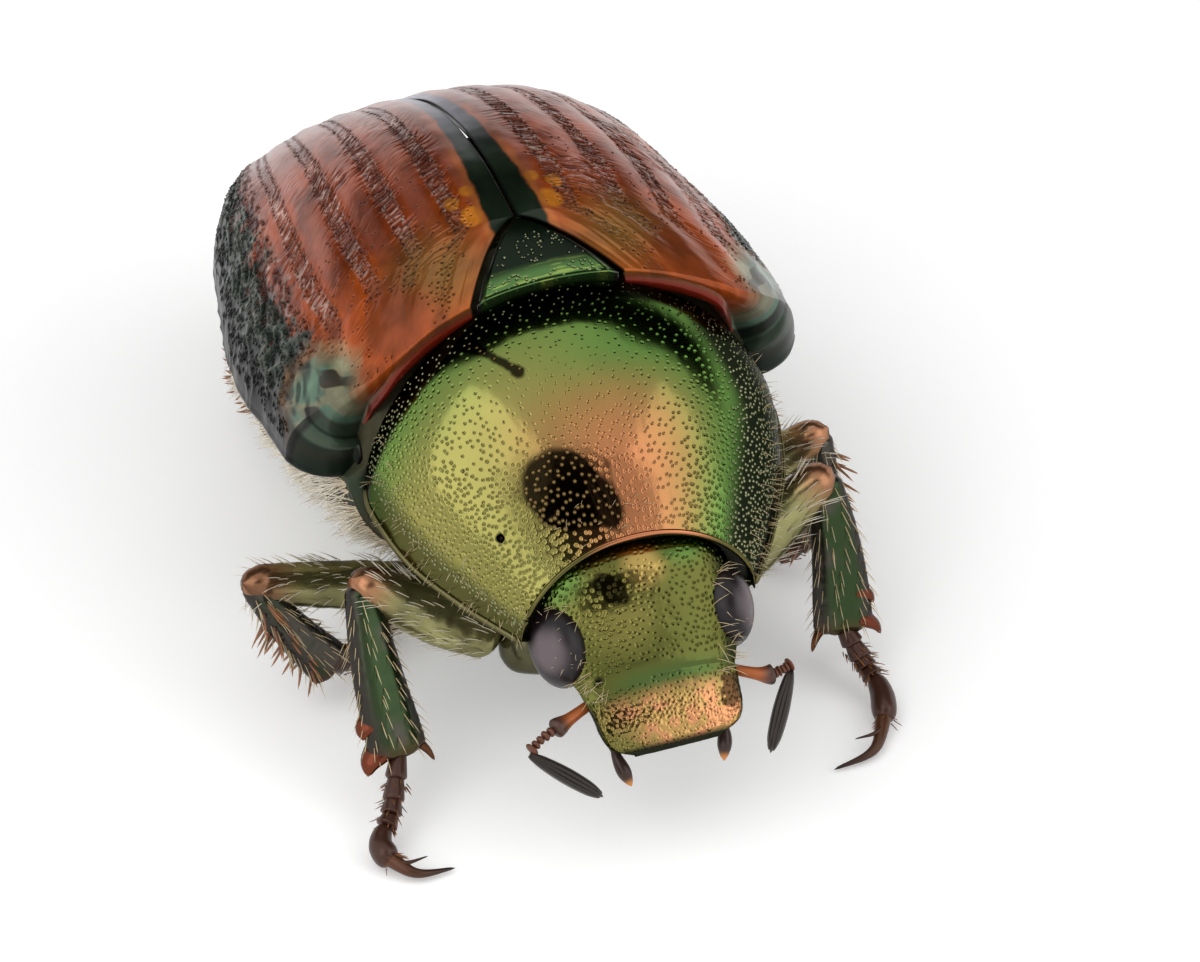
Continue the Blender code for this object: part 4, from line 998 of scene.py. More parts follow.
HEAD_STOPS = (
    # u, half width, margin w, crown height, depth below the margin
    (-0.75, 0.78, -1.05, 0.30, 0.50),
    (-0.35, 0.96, -0.84, 0.36, 0.66),
    (0.00, 1.06, -0.56, 0.40, 0.80),
    (0.25, 1.12, -0.40, 0.40, 0.90),
    (0.60, 1.14, -0.34, 0.38, 0.98),
    (1.00, 1.12, -0.30, 0.34, 1.00),
    (1.35, 1.03, -0.24, 0.27, 0.92),
    (1.55, 0.94, -0.18, 0.20, 0.75),
    (1.80, 0.89, -0.12, 0.13, 0.52),
    (2.05, 0.86, -0.06, 0.08, 0.46),
    (2.18, 0.82, -0.04, 0.05, 0.45),
    (2.28, 0.73, -0.04, 0.04, 0.44),
    (FACE_LENGTH, 0.50, -0.05, 0.03, 0.42),
)
CROWN_U = -0.75
SUTURE_U = 1.52  # where the face meets the lip shield
FACE_RIM_STEPS = ((0.015, -0.02), (0.015, -0.06), (-0.02, -0.12), (-0.3, -0.2))
HEAD_GREEN, HEAD_GOLD, CROWN_GOLD = (0.10, 0.105, 0.026), (0.21, 0.19, 0.05), (0.48, 0.33, 0.10)
# The second colour here is a painted dark reflection, the third painted shade.
HEAD_SIDE, HEAD_REFLECTION_DARK, NECK_PAINTED_SHADE = (0.08, 0.15, 0.035), (0.014, 0.012, 0.005), (0.03, 0.04, 0.015)
EYE_SIDE_DARK, BAND_GREEN, LIP_OLIVE = (0.03, 0.035, 0.015), (0.07, 0.12, 0.035), (0.20, 0.17, 0.05)
LIP_GOLD, LIP_COPPER, CHEEK_BRONZE = (0.48, 0.29, 0.1), (0.64, 0.28, 0.13), (0.06, 0.06, 0.03)
HOLLOW_BLACK, SCAR_BROWN, FACE_RIM = (0.01, 0.012, 0.008), (0.035, 0.02, 0.01), (0.018, 0.02, 0.012)


def from_head(x, u, w):
    """The place x to the side, u down the face and w out from it."""
    down = np.array([0.0, -math.cos(FACE_SLOPE), -math.sin(FACE_SLOPE)])
    out = np.array([0.0, -math.sin(FACE_SLOPE), math.cos(FACE_SLOPE)])
    x, u, w = np.broadcast_arrays(x, u, w)
    return HEAD_ORIGIN + x[..., None] * np.array([1.0, 0.0, 0.0]) + u[..., None] * down + w[..., None] * out


def head_value(k, u):
    return along(stops_of(HEAD_STOPS, k), u)


def head_tint(points, u, r, suture, rim, hollow):
    """Olive green with gold patches, a copper lip shield, dark marks on the right and left, a painted dark
    reflection on the face's right, and painted shade where the head goes under the shield.
    """
    left = spot(points, from_head(0.55, 0.1, -0.2), 0.5)
    side = np.maximum(left, spot(points, from_head(-0.85, 0.25, -0.4), 0.6))
    # Here shade marks a painted dark reflection, an oval on the face's right.
    shade = np.hypot((u - 0.46 - 0.5 * (r + 0.33)) / 0.2, (r + 0.33) / 0.17)
    shade = shade + 0.15 * noise(r * 14.0, u * 12.0, 147)
    clypeus = step(0.05, 0.38, suture)
    band = bell(suture - 0.04, 0.14) * step(1.0, 0.3, np.abs(r - 0.1))
    copper = clypeus * step(-0.95, -0.3, r - 0.9 * (suture - 0.45))
    metal = painted(points.shape, LIP_GOLD, (LIP_COPPER, step(-0.5, 0.5, rough(r * 7.0, u * 9.0, 149))))
    scar = np.hypot((u - 1.87) / 0.26, (r - 0.87) / 0.17) + 0.4 * noise(r * 26.0, u * 24.0, 151)
    return painted(
        points.shape,
        HEAD_GREEN,
        (HEAD_GOLD, step(0.0, 0.8, spot(points, from_head(-0.35, 0.75, -0.1), 0.75))),
        (CROWN_GOLD, step(0.0, 0.8, spot(points, from_head(0.05, 0.3, -0.1), 0.42)) * 0.8),
        (HEAD_SIDE, step(0.0, 0.7, side)),
        (HEAD_REFLECTION_DARK, step(1.0, 0.75, shade) * 0.9),
        # Painted shade where the head goes under the shield's front edge.
        (NECK_PAINTED_SHADE, step(0.22, -0.1, u)),
        (EYE_SIDE_DARK, step(0.72, 0.9, r) * step(0.1, -0.1, suture)),
        (BAND_GREEN, band * 0.85),
        (LIP_OLIVE, clypeus * 0.8),
        (metal, copper * 0.9),
        (HOLLOW_BLACK, step(0.1, 0.6, hollow)),
        (SCAR_BROWN, step(1.0, 0.7, scar) * 0.85),
        (FACE_RIM, rim),
    )


def head_pits(rng, u, r):
    rows, columns = u.shape
    pits = []
    for row, column in scatter(rng, rows, columns, 6.8, 6.8, 0.36):
        at_u, at_r = u[min(int(row), rows - 1), 0], r[0, min(max(int(column), 0), columns - 1)]
        gap = at_u - SUTURE_U - 0.10 * at_r**2
        if -0.16 < gap < 0.0 or abs(at_r) > 0.975 or at_u > FACE_LENGTH - 0.08 or rng.uniform() > 0.95:
            continue
        size = (mix(0.018, 0.025, abs(at_r)) if gap < 0 else 0.017) * rng.uniform(0.85, 1.15)
        pits.append((row, column, size, size * 0.5))
    return pits


def make_head():
    u = np.linspace(CROWN_U, FACE_LENGTH, 310)[:, None]
    r = np.sin(np.linspace(math.pi / 2, -math.pi / 2, 250))[None, :]
    x, w = head_value(1, u) * r, head_value(2, u) + head_value(3, u) * dome(r, 2.6, 1.5)
    u, r = u + 0 * r, r + 0 * u
    suture = u - SUTURE_U - 0.10 * r * r
    rim = step(FACE_LENGTH - 0.12, FACE_LENGTH - 0.04, u)
    rim = np.maximum(rim, step(0.92, 0.995, np.abs(r)) * step(SUTURE_U + 0.1, SUTURE_U + 0.3, u))
    points = from_head(x, u, w + rim * 0.05)
    relief = -0.012 * bell(suture, 0.03) * step(-0.5, 0.6, r)
    relief = relief + 0.006 * bell(suture + 0.1, 0.1)
    grain = rough(r * 44.0, u * 42.0, 143, 1) * 0.0024 * step(0.05, 0.38, suture)
    relief = relief + rough(r * 4.0, u * 3.0, 140) * 0.003 + grain
    hollow = spot(points, from_head(-0.74, 1.46, 0.0), 0.12)
    relief = relief - 0.04 * step(0.1, 0.7, hollow)
    pits = head_pits(np.random.default_rng(SEED + 21), u, r)
    tags = {"tint": head_tint(points, u, r, suture, rim, hollow)}
    points, tags, turned = skin(points, tags, pits, 0.08, relief, centre=from_head(0, 1, -2))
    fore = [from_head(0, *place) - HEAD_ORIGIN for place in FACE_RIM_STEPS]
    points, tags = pad_all(points, tags, [(0.0, 0.1, -0.2)], fore, 0)
    sheet("head_shield", points, "head", "head", tags, turned)


def make_head_underside():
    u = np.linspace(CROWN_U, FACE_LENGTH - 0.02, 70)[:, None]
    r = np.linspace(-1.0, 1.0, 90)[None, :]
    w = head_value(2, u) - head_value(4, u) * dome(r, 2.4, 2.0)
    points = from_head(head_value(1, u) * r * 0.992, u + 0 * r, w)
    tint = painted(points.shape, CHEEK_BRONZE)
    form = {"relief": rough(r * 8.0, u * 8.0, 150) * 0.008, "centre": from_head(0, 1, 2)}
    skin_sheet("head_underside", points, tint, "dark", "green_cuticle", "head", **form)


# The sheen colour is a painted highlight.
EYE_BLACK, EYE_PAINTED_HIGHLIGHT, EYE_BROWN = (0.007, 0.004, 0.005), (0.11, 0.085, 0.092), (0.09, 0.05, 0.035)


def make_eye(side):
    sign = SIDES[side]
    a = np.linspace(0.02, math.pi - 0.02, 60)[:, None]
    b = np.linspace(0.0, TAU, 90, endpoint=False)[None, :]
    centre = np.array(EYE_CENTRE) * (sign, 1.0, 1.0)
    x = sign * (EYE_CENTRE[0] + EYE_RADII[0] * np.cos(a) + 0 * b)
    u = EYE_CENTRE[1] + EYE_RADII[1] * np.sin(a) * np.cos(b)
    w = EYE_CENTRE[2] + EYE_RADII[2] * np.sin(a) * np.sin(b)
    points = from_head(x, u, w)
    out = unit(points - from_head(*centre))
    facing = (out * unit(np.array([sign * 0.7, -0.6, 0.42]))).sum(axis=-1)
    # A painted highlight on the side that faces out, forward and up, and a brown rim on the far side.
    painted_highlight, brown = step(0.66, 0.97, facing), step(0.25, 0.1, facing) * 0.7
    tint = painted(points.shape, EYE_BLACK, (EYE_PAINTED_HIGHLIGHT, painted_highlight), (EYE_BROWN, brown))
    skin_sheet(f"eye_ball_{side}", points, tint, "eye", "eye_black", f"eye_{side}", wrap=True)


# Limbs. A bit is one closed form, and the bits of a limb are joined in one mesh.


def curve(points, count):
    """Evenly numbered points on a smooth line through the given ones."""
    points = np.asarray(points, float)
    places = np.linspace(0.0, len(points) - 1.0, count)
    return np.stack([along(list(enumerate(points[:, k])), places) for k in range(3)], axis=-1)


def tube_frame(path, across):
    """The ways ahead, sideways towards across, and up, at each point of a path."""
    ahead = unit(np.gradient(path, axis=0))
    across = np.broadcast_to(np.asarray(across, float), path.shape)
    side = unit(across - ahead * (across * ahead).sum(axis=1, keepdims=True))
    return ahead, side, np.cross(ahead, side)


def tube_bit(path, widths, heights, across, sides, tint, power=2.0, ends=0.12, relief=None):
    """A closed tube along path, widths towards across and heights square to it, with round ends."""
    count = len(path)
    share = np.linspace(0.0, 1.0, count)
    _, side, up = tube_frame(path, across)
    near = np.minimum(share, 1.0 - share) / ends
    cap = np.sqrt(np.clip(1.0 - (1.0 - np.minimum(near, 1.0)) ** 2, 0.0004, 1.0))
    wide = np.broadcast_to(widths, count) * cap
    high = np.broadcast_to(heights, count) * cap
    turns = np.arange(sides) * TAU / sides
    c, v = np.cos(turns), np.sin(turns)
    c, v = np.sign(c) * np.abs(c) ** (2 / power), np.sign(v) * np.abs(v) ** (2 / power)
    points = path[:, None] + side[:, None] * (wide[:, None] * c)[..., None]
    points = points + up[:, None] * (high[:, None] * v)[..., None]
    tint = np.broadcast_to(np.asarray(tint, float), points.shape)
    points, tags, turned = skin(points, {"tint": tint}, relief=relief, wrap=True)
    faces = grid_faces(count, sides, True, turned)
    return points.reshape(-1, 3), faces, tags["tint"].reshape(-1, 3), tags["pit"].ravel()


def joined(name, bits, look, stands_for):
    starts = np.cumsum([0] + [len(bit[0]) for bit in bits])
    faces = np.concatenate([bit[1] + start for bit, start in zip(bits, starts)])
    points, tint, pit = (np.concatenate([bit[k] for bit in bits]) for k in (0, 2, 3))
    piece(name, points, faces, look, stands_for, {"tint": tint, "pit": pit})


def spike_bit(root, tip, radius, tint, bend, flat=1.0):
    """A bent cone, as a tooth or a spur."""
    path = curve((root, (root + tip) / 2 + bend, tip), 10)
    radii = radius * (1.0 - np.linspace(0.0, 1.0, 10)) ** 0.7 + 0.008
    return tube_bit(path, radii, radii * flat, np.cross(tip - root, (0.3, 0.2, 1.0)), 8, tint, ends=0.04)


LEGS = {
    "front_right": {
        "coxa": ((-0.45, -3.45, 1.3), (-1.25, -3.3, 1.42)),
        "knee": (-2.78, -2.86, 2.42),
        "ankle": (-2.72, -4.07, 0.70),
        "toe": ((-2.72, -4.12, 0.62), (-3.0, -4.54, 0.38), (-3.24, -4.84, 0.23), (-3.2, -5.16, 0.17)),
        "claw": ((-3.2, -5.16, 0.16), (-2.98, -5.34, 0.12), (-2.51, -5.34, 0.05)),
    },
    "front_left": {
        "coxa": ((0.45, -3.45, 1.3), (1.25, -3.35, 1.42)),
        "knee": (2.86, -2.95, 2.42),
        "ankle": (2.84, -3.76, 0.64),
        "toe": ((2.84, -3.82, 0.56), (2.99, -4.08, 0.36), (3.05, -4.43, 0.23), (2.92, -4.9, 0.17)),
        "claw": ((2.9, -4.92, 0.16), (2.66, -5.2, 0.12), (2.13, -5.29, 0.05)),
    },
    "mid_right": {
        "coxa": ((-0.55, -1.55, 0.78), (-1.55, -1.5, 0.86)),
        "knee": (-3.76, -1.9, 1.88),
        "ankle": (-2.84, -2.12, 0.46),
        "toe": ((-2.82, -2.1, 0.38), (-2.5, -1.85, 0.28), (-2.2, -1.62, 0.22), (-1.9, -1.42, 0.22)),
        "claw": ((-1.92, -1.44, 0.2), (-1.7, -1.28, 0.18), (-1.5, -1.05, 0.1)),
    },
    "mid_left": {
        "coxa": ((0.55, -1.55, 0.78), (1.5, -1.5, 0.86)),
        "knee": (3.3, -1.7, 1.88),
        "ankle": (3.12, -2.0, 0.46),
        "toe": ((3.08, -2.0, 0.38), (2.8, -1.85, 0.28), (2.5, -1.62, 0.22), (2.2, -1.42, 0.22)),
        "claw": ((2.22, -1.44, 0.2), (2.0, -1.28, 0.18), (1.8, -1.05, 0.1)),
    },
    "hind_right": {
        "coxa": ((-0.45, 0.2, 0.72), (-1.5, 0.3, 0.8)),
        "knee": (-2.3, 1.5, 1.12),
        "ankle": (-1.95, 3.1, 0.5),
        "toe": ((-1.93, 3.18, 0.42), (-1.85, 3.7, 0.28), (-1.75, 4.1, 0.22), (-1.65, 4.55, 0.22)),
        "claw": ((-1.66, 4.5, 0.2), (-1.58, 4.8, 0.18), (-1.45, 5.05, 0.1)),
    },
}
LEGS["hind_left"] = {key: np.array(places) * (-1.0, 1.0, 1.0) for key, places in LEGS["hind_right"].items()}
LEG_FORMS = {
    # half widths of the femur, its half height, half widths of the tibia, its half height
    "front": ((0.26, 0.33, 0.27, 0.2), 0.24, (0.19, 0.26, 0.33, 0.36), 0.17),
    "mid": ((0.24, 0.28, 0.25, 0.2), 0.2, (0.15, 0.2, 0.25, 0.29), 0.17),
    "hind": ((0.26, 0.38, 0.36, 0.24), 0.22, (0.16, 0.24, 0.32, 0.34), 0.18),
}
COXA_BROWN = (0.08, 0.075, 0.035)
FEMUR_GREEN, FEMUR_COPPER = (0.24, 0.225, 0.095), (0.26, 0.12, 0.06)
TIBIA_GREEN, TIBIA_BRONZE, TIBIA_EDGE = (0.027, 0.051, 0.016), (0.07, 0.062, 0.05), (0.034, 0.029, 0.024)
TOOTH_BROWN = (0.13, 0.03, 0.012)
FOOT_BROWN = (0.055, 0.022, 0.014)
CLAW_BROWN, CLAW_TIP = (0.10, 0.035, 0.012), (0.02, 0.012, 0.01)
FEMUR_ROWS, TIBIA_ROWS, LEG_SIDES = 46, 54, 32
SEGMENTS = (0.0, 0.15, 0.27, 0.38, 0.48, 1.0)
LAST_JOINT = ((0.0, 0.09), (0.3, 0.14), (0.75, 0.165), (1.0, 0.12))
UP, BACK, ACROSS = (0, 0, 1), (0, 1, 0), (1, 0, 0)


class Leg:
    """One leg's joints and ways, and the half widths of its two long bits along them."""

    def __init__(self, name, index):
        self.name, self.index, self.pair = name, index, name.split("_")[0]
        self.spec = LEGS[name]
        self.outer = np.array(self.spec["coxa"][1], float)
        self.knee, self.ankle = np.array(self.spec["knee"]), np.array(self.spec["ankle"])
        hinge = unit(np.cross(self.knee - self.outer, self.ankle - self.knee))
        outward = -unit(np.cross(hinge, self.ankle - self.knee))
        self.outward = -outward if (outward * (self.ankle - self.outer)).sum() < 0.0 else outward
        self.across = np.cross(hinge, self.knee - self.outer)
        self.ahead = unit(self.ankle - self.knee)
        femur, self.femur_height, tibia, self.tibia_height = LEG_FORMS[self.pair]
        self.end_width = tibia[-1]
        self.femur_widths = along(list(zip((0.0, 0.4, 0.75, 1.0), femur)), np.linspace(0.0, 1.0, FEMUR_ROWS))
        self.tibia_widths = along(list(zip((0.0, 0.3, 0.7, 1.0), tibia)), np.linspace(0.0, 1.0, TIBIA_ROWS))
        bow = mix(self.knee, self.ankle, 0.5) + self.outward * 0.04
        self.tibia_path = curve((self.knee, bow, self.ankle), TIBIA_ROWS)


def make_thigh(leg):
    share = np.linspace(0, 1, 20)
    widths = along([(0, 0.34), (0.5, 0.42), (1, 0.3)], share)
    coxa = tube_bit(curve(leg.spec["coxa"], 20), widths, 0.38, BACK, 24, COXA_BROWN, ends=0.3)
    joined(f"leg_root_{leg.name}", [coxa], "leg", f"coxa_{leg.name}")
    bow = mix(leg.outer, leg.knee, 0.5) + unit(leg.across) * 0.02
    path = curve((leg.outer, bow, leg.knee + unit(leg.knee - leg.outer) * 0.12), FEMUR_ROWS)
    share, sides = np.linspace(0.0, 1.0, FEMUR_ROWS)[:, None], np.arange(LEG_SIDES)[None]
    relief = rough(share * 30, sides * 0.7, 200 + leg.index) * 0.006
    tint = painted((FEMUR_ROWS, LEG_SIDES, 3), FEMUR_GREEN, (FEMUR_COPPER, step(0.7, 0.95, share)))
    tint = tint * (1.0 + 0.45 * rough(share * 5.0, sides * 0.25, 215 + leg.index))[..., None]
    form = (leg.femur_widths, leg.femur_height, leg.across, LEG_SIDES, tint, 2.3, 0.12, relief)
    joined(f"thigh_{leg.name}", [tube_bit(path, *form)], "leg", f"femur_{leg.name}")


def make_shin(leg):
    """The tibia, a front one's two teeth, and its spur."""
    share = np.linspace(0.0, 1.0, TIBIA_ROWS)[:, None]
    turns = np.arange(LEG_SIDES)[None] * TAU / LEG_SIDES
    ridge = 0.009 * np.cos(turns * 6.0) * step(0.1, 0.3, share)
    relief = ridge + rough(share * 40, turns * 3.0, 230 + leg.index) * 0.003
    bronze = (0.3, 1.2) if leg.pair == "front" else (-1.0, 0.3)
    bronze = step(*bronze, rough(share * 6.0, turns * 1.5, 245 + leg.index))
    shape = (TIBIA_ROWS, LEG_SIDES, 3)
    face = step(0.85, 0.35, np.abs(np.cos(turns)))
    middle = painted(shape, TIBIA_GREEN, (TIBIA_BRONZE, bronze))
    tint = painted(shape, TIBIA_EDGE, (middle, face), (TOOTH_BROWN, step(0.86, 1.0, share) * 0.4))
    form = (leg.tibia_widths, leg.tibia_height, leg.outward, LEG_SIDES, tint, 2.2, 0.07, relief)
    bits = [tube_bit(leg.tibia_path, *form)]
    if leg.pair == "front":
        for at_share, reach, lean, size in ((0.78, 0.2, 0.2, 0.15), (0.95, 0.24, 0.26, 0.16)):
            root = mix(leg.knee, leg.ankle, at_share - 0.06) + leg.outward * (leg.end_width - 0.22)
            tip = root + leg.outward * (reach + 0.06) + leg.ahead * (lean + 0.06)
            bits.append(spike_bit(root, tip, size + 0.05, TOOTH_BROWN, leg.outward * 0.07, flat=0.5))
    root = mix(leg.knee, leg.ankle, 0.93) - leg.outward * leg.end_width * 0.7
    tip = root + leg.ahead * 0.28 - leg.outward * 0.16
    bits.append(spike_bit(root, tip, 0.06, CLAW_BROWN, -leg.outward * 0.02))
    joined(f"shin_{leg.name}", bits, "leg", f"tibia_{leg.name}")


def make_foot(leg):
    """The foot's five joints, and its two claws, which start inside the last joint."""
    toe = curve((leg.ankle - leg.ahead * 0.08, *leg.spec["toe"][1:]), 101)
    bits = []
    for k in range(5):
        first, last = int(SEGMENTS[k] * 100), int(SEGMENTS[k + 1] * 100)
        path = toe[max(first - 3, 0) : last + 1]
        count = max(12, len(path))
        path = curve(path[:: max(1, (len(path) - 1) // 4)], count)
        flare = np.linspace(0.0, 1.0, count)
        radii = mix(0.095, 0.15, flare**0.8) if k < 4 else along(LAST_JOINT, flare)
        bits.append(tube_bit(path, radii, radii * 0.9, UP, 18, FOOT_BROWN, ends=0.16))
    joined(f"foot_{leg.name}", bits, "foot", f"tarsus_{leg.name}")
    claw = np.array(leg.spec["claw"], float)
    claw[0] = toe[88]
    fade = np.linspace(0.0, 1.0, 18)
    tint = painted((18, 12, 3), CLAW_BROWN, (CLAW_TIP, fade[:, None]))
    bits = []
    for number in range(2):
        lift = np.array([0.0, 0.0, 0.1 * number])
        path = curve([p + lift * k for k, p in enumerate(claw)], 18)
        path = mix(path[:1], path, 1.0 - 0.4 * number)
        thick = mix(0.1, 0.012, fade**1.1) * (1.0 - 0.5 * number)
        bits.append(tube_bit(path, thick, thick, UP, 12, tint, ends=0.05))
    joined(f"claws_{leg.name}", bits, "foot", f"tarsus_{leg.name}")


def tube_hairs(kind, leg, bit, tube, share, turn, lean, turn_start=0.0, **form):
    """Hairs at those shares along a tube and turns round it, leaning out and ahead. A foot's stay over the
    floor."""
    path, widths, heights, across = tube
    ahead, side, up = tube_frame(path, across)
    i = np.clip((share * (len(path) - 1)).astype(int), 0, len(path) - 1)
    wide = np.broadcast_to(widths, len(path))[i][:, None]
    high = np.broadcast_to(heights, len(path))[i][:, None]
    c, v = np.cos(turn)[:, None], np.sin(turn)[:, None]
    roots = path[i] + (side[i] * c * wide + up[i] * v * high)
    ways = unit(side[i] * c / wide + up[i] * v / high) * lean[0] + ahead[i] * lean[1]
    uv = np.stack([share, (turn + turn_start) / 7.0], axis=-1)
    if bit == "tarsus":
        keep = roots[:, 2] > 0.08
        roots, ways, uv = roots[keep], ways[keep], uv[keep]
        ways[:, 2] = np.maximum(ways[:, 2], -0.05)
    hairs(kind, f"_{leg.name}", [roots], [ways], [uv], f"{bit}_{leg.name}", leg.index, **form)


def make_leg_hairs(leg):
    rng = np.random.default_rng(SEED + 300 + leg.index)
    femur = (curve((leg.outer, leg.knee), FEMUR_ROWS), leg.femur_widths, leg.femur_height, leg.across)
    count = 150
    share, turn = rng.uniform(0.05, 0.95, count), rng.uniform(0, TAU, count)
    tube_hairs("thigh_hairs", leg, "femur", femur, share, turn, (0.4, 0.85))
    rows, each = 8, 18
    spread = np.tile(np.linspace(0.1, 0.95, each), rows)
    share = np.clip(spread + rng.normal(0.0, 0.02, rows * each), 0.08, 0.97)
    turn = np.repeat(np.arange(rows), each) * TAU / rows + 0.3 + rng.normal(0.0, 0.14, rows * each)
    tibia = (leg.tibia_path, leg.tibia_widths, leg.tibia_height, leg.outward)
    tube_hairs("shin_bristles", leg, "tibia", tibia, share, turn, (0.6, 0.75))
    if leg.pair != "front":
        count = 44
        share = rng.uniform(0.15, 1.0, count)
        turn = rng.choice([-1.1, -0.5, 0.0, 0.5, 1.0, 2.4], count) + rng.normal(0.0, 0.15, count)
        inner = (leg.tibia_path, leg.tibia_widths * 0.9, leg.tibia_height * 0.9, leg.outward)
        form = {"turn_start": 2.0, "length": SPINE_LENGTHS[leg.pair], "bend": (0.0, 0.0, 0.0)}
        tube_hairs("shin_spines", leg, "tibia", inner, share, turn, (0.9, 0.5), **form)
    count = 64
    share = np.clip(rng.choice(SEGMENTS[1:], count) - np.abs(rng.normal(0.0, 0.03, count)), 0.05, 0.98)
    turn = rng.uniform(0, TAU, count)
    foot = (curve(leg.spec["toe"], 60), 0.11, 0.1, UP)
    tube_hairs("foot_bristles", leg, "tarsus", foot, share, turn, (0.6, 0.75), bend=(0.0, 0.0, 0.05))


# Feelers and mouth.

FEELERS = {
    "right": {
        "stem": ((-0.78, -5.16, 1.93), (-1.21, -5.30, 1.84), (-1.48, -5.40, 1.8), (-1.69, -5.5, 1.72)),
        "club": ((-1.69, -5.5, 1.7), (-0.91, -5.85, 1.1)),
        "palp": ((-0.52, -5.1, 1.3), (-0.6, -5.42, 1.28), (-0.51, -5.70, 1.0)),
    },
    "left": {
        "stem": ((0.82, -5.16, 1.95), (1.23, -5.37, 1.9), (1.42, -5.36, 1.9), (1.58, -5.31, 1.92)),
        "club": ((1.56, -5.33, 1.86), (1.09, -5.92, 1.2)),
        "palp": ((0.5, -5.1, 1.3), (0.68, -5.45, 1.36), (0.6, -5.74, 1.08)),
    },
}
SCAPE_ORANGE, SCAPE_DARK, STEM_BROWN = (0.32, 0.085, 0.02), (0.07, 0.035, 0.025), (0.12, 0.045, 0.025)
CLUB_GREY = (0.026, 0.02, 0.017)
PALP_BROWN, PALP_TIP = (0.04, 0.022, 0.018), (0.5, 0.2, 0.05)
PALP_RADII = ((0.0, 0.08), (0.3, 0.07), (0.42, 0.05), (0.52, 0.06), (0.78, 0.085), (0.94, 0.045), (1.0, 0.02))
CLUB_FACE = np.array([-0.26, -0.7, 0.67])  # the way the club's leaves turn their edges


def make_stem(side):
    stem = curve(FEELERS[side]["stem"], 61)
    share = np.linspace(0, 1, 30)
    thick = along([(0, 0.06), (0.5, 0.075), (0.85, 0.12), (1, 0.08)], share)
    tint = painted((30, 18, 3), SCAPE_ORANGE, (SCAPE_DARK, step(0.5, 0.8, share)[:, None]))
    bits = [tube_bit(stem[:30], thick, thick, UP, 18, tint, ends=0.1)]
    for first, thick in zip(range(28, 58, 6), (0.06, 0.065, 0.055, 0.06, 0.085)):
        path = curve(stem[first : first + 7 : 3], 10)
        bits.append(tube_bit(path, thick, thick, UP, 16, STEM_BROWN, ends=0.45))
    joined(f"feeler_{side}", bits, "foot", f"antenna_{side}")


def make_club(side):
    """The feeler's three leaves, closed together."""
    root, tip = np.array(FEELERS[side]["club"])
    ahead = unit(tip - root)
    stack = unit(CLUB_FACE - ahead * (CLUB_FACE * ahead).sum())
    flat = np.cross(ahead, stack)
    share = np.linspace(0, 1, 26)
    thin = along([(0.0, 0.03), (0.3, 0.045), (0.8, 0.048), (1.0, 0.03)], share)
    wide = along([(0.0, 0.06), (0.35, 0.13), (0.75, 0.15), (1.0, 0.13)], share)
    bits = []
    for k in (-1, 0, 1):
        start = root + flat * 0.02 * k
        end = tip + flat * 0.028 * k - ahead * 0.03 * abs(k)
        path = curve((start, mix(start, end, 0.5) + flat * 0.025 * k, end), 26)
        bits.append(tube_bit(path, wide, thin, stack, 20, CLUB_GREY, 2.2, 0.2))
    joined(f"feeler_club_{side}", bits, "foot", f"antenna_club_{side}")


def make_palp(side):
    share = np.linspace(0, 1, 40)
    radii = along(PALP_RADII, share)
    tint = painted((40, 16, 3), PALP_BROWN, (PALP_TIP, step(0.86, 0.96, share)[:, None]))
    bits = [tube_bit(curve(FEELERS[side]["palp"], 40), radii, radii, UP, 16, tint, ends=0.1)]
    joined(f"mouth_feeler_{side}", bits, "foot", f"palp_{side}")


def make_mouth():
    """The two jaws and the upper lip under the face shield."""
    bits = []
    for sign in (-1.0, 1.0):
        x = np.array([0.28, 0.34, 0.3]) * sign
        path = from_head(x, np.array([0.8, 1.5, 2.1]), np.array([-1.25, -1.0, -0.75]))
        bits.append(tube_bit(curve(path, 24), 0.28, 0.24, ACROSS, 20, (0.05, 0.03, 0.018), ends=0.3))
    lip = from_head(np.array([-0.5, 0.0, 0.5]), np.array([2.0, 2.12, 2.0]), np.array([-0.5, -0.48, -0.5]))
    bits.append(tube_bit(curve(lip, 24), 0.16, 0.1, (0, -0.6, -0.8), 20, (0.07, 0.04, 0.02), ends=0.2))
    joined("jaws", bits, "dark", "mouthparts")


# The thorax and the abdomen inside the wing cases.

CORE_INSETS = ((0.0, 0.8), (0.12, 0.4), (0.45, 0.25), (0.92, 0.7))
THORAX_END, ABDOMEN_END, UPRIGHT_FROM = 0.44, 0.92, 0.3
JOINT_REACH = 0.25  # how far a narrower neck closes the seam between two body pieces
LEDGE_DROP, LEDGE_INSETS = 0.12, (0.6, 0.22)
PYGIDIUM_DEPTH, PYGIDIUM_DROP = 1.25, 0.7
CORE_BRONZE, CORE_GREEN, TAIL_GREEN = (0.045, 0.042, 0.02), (0.03, 0.05, 0.03), (0.05, 0.12, 0.04)


def belly_z(s):
    return along([(0.0, 0.95), (0.12, 0.74), (0.4, 0.72), (0.7, 0.86), (1.0, 1.1)], s)


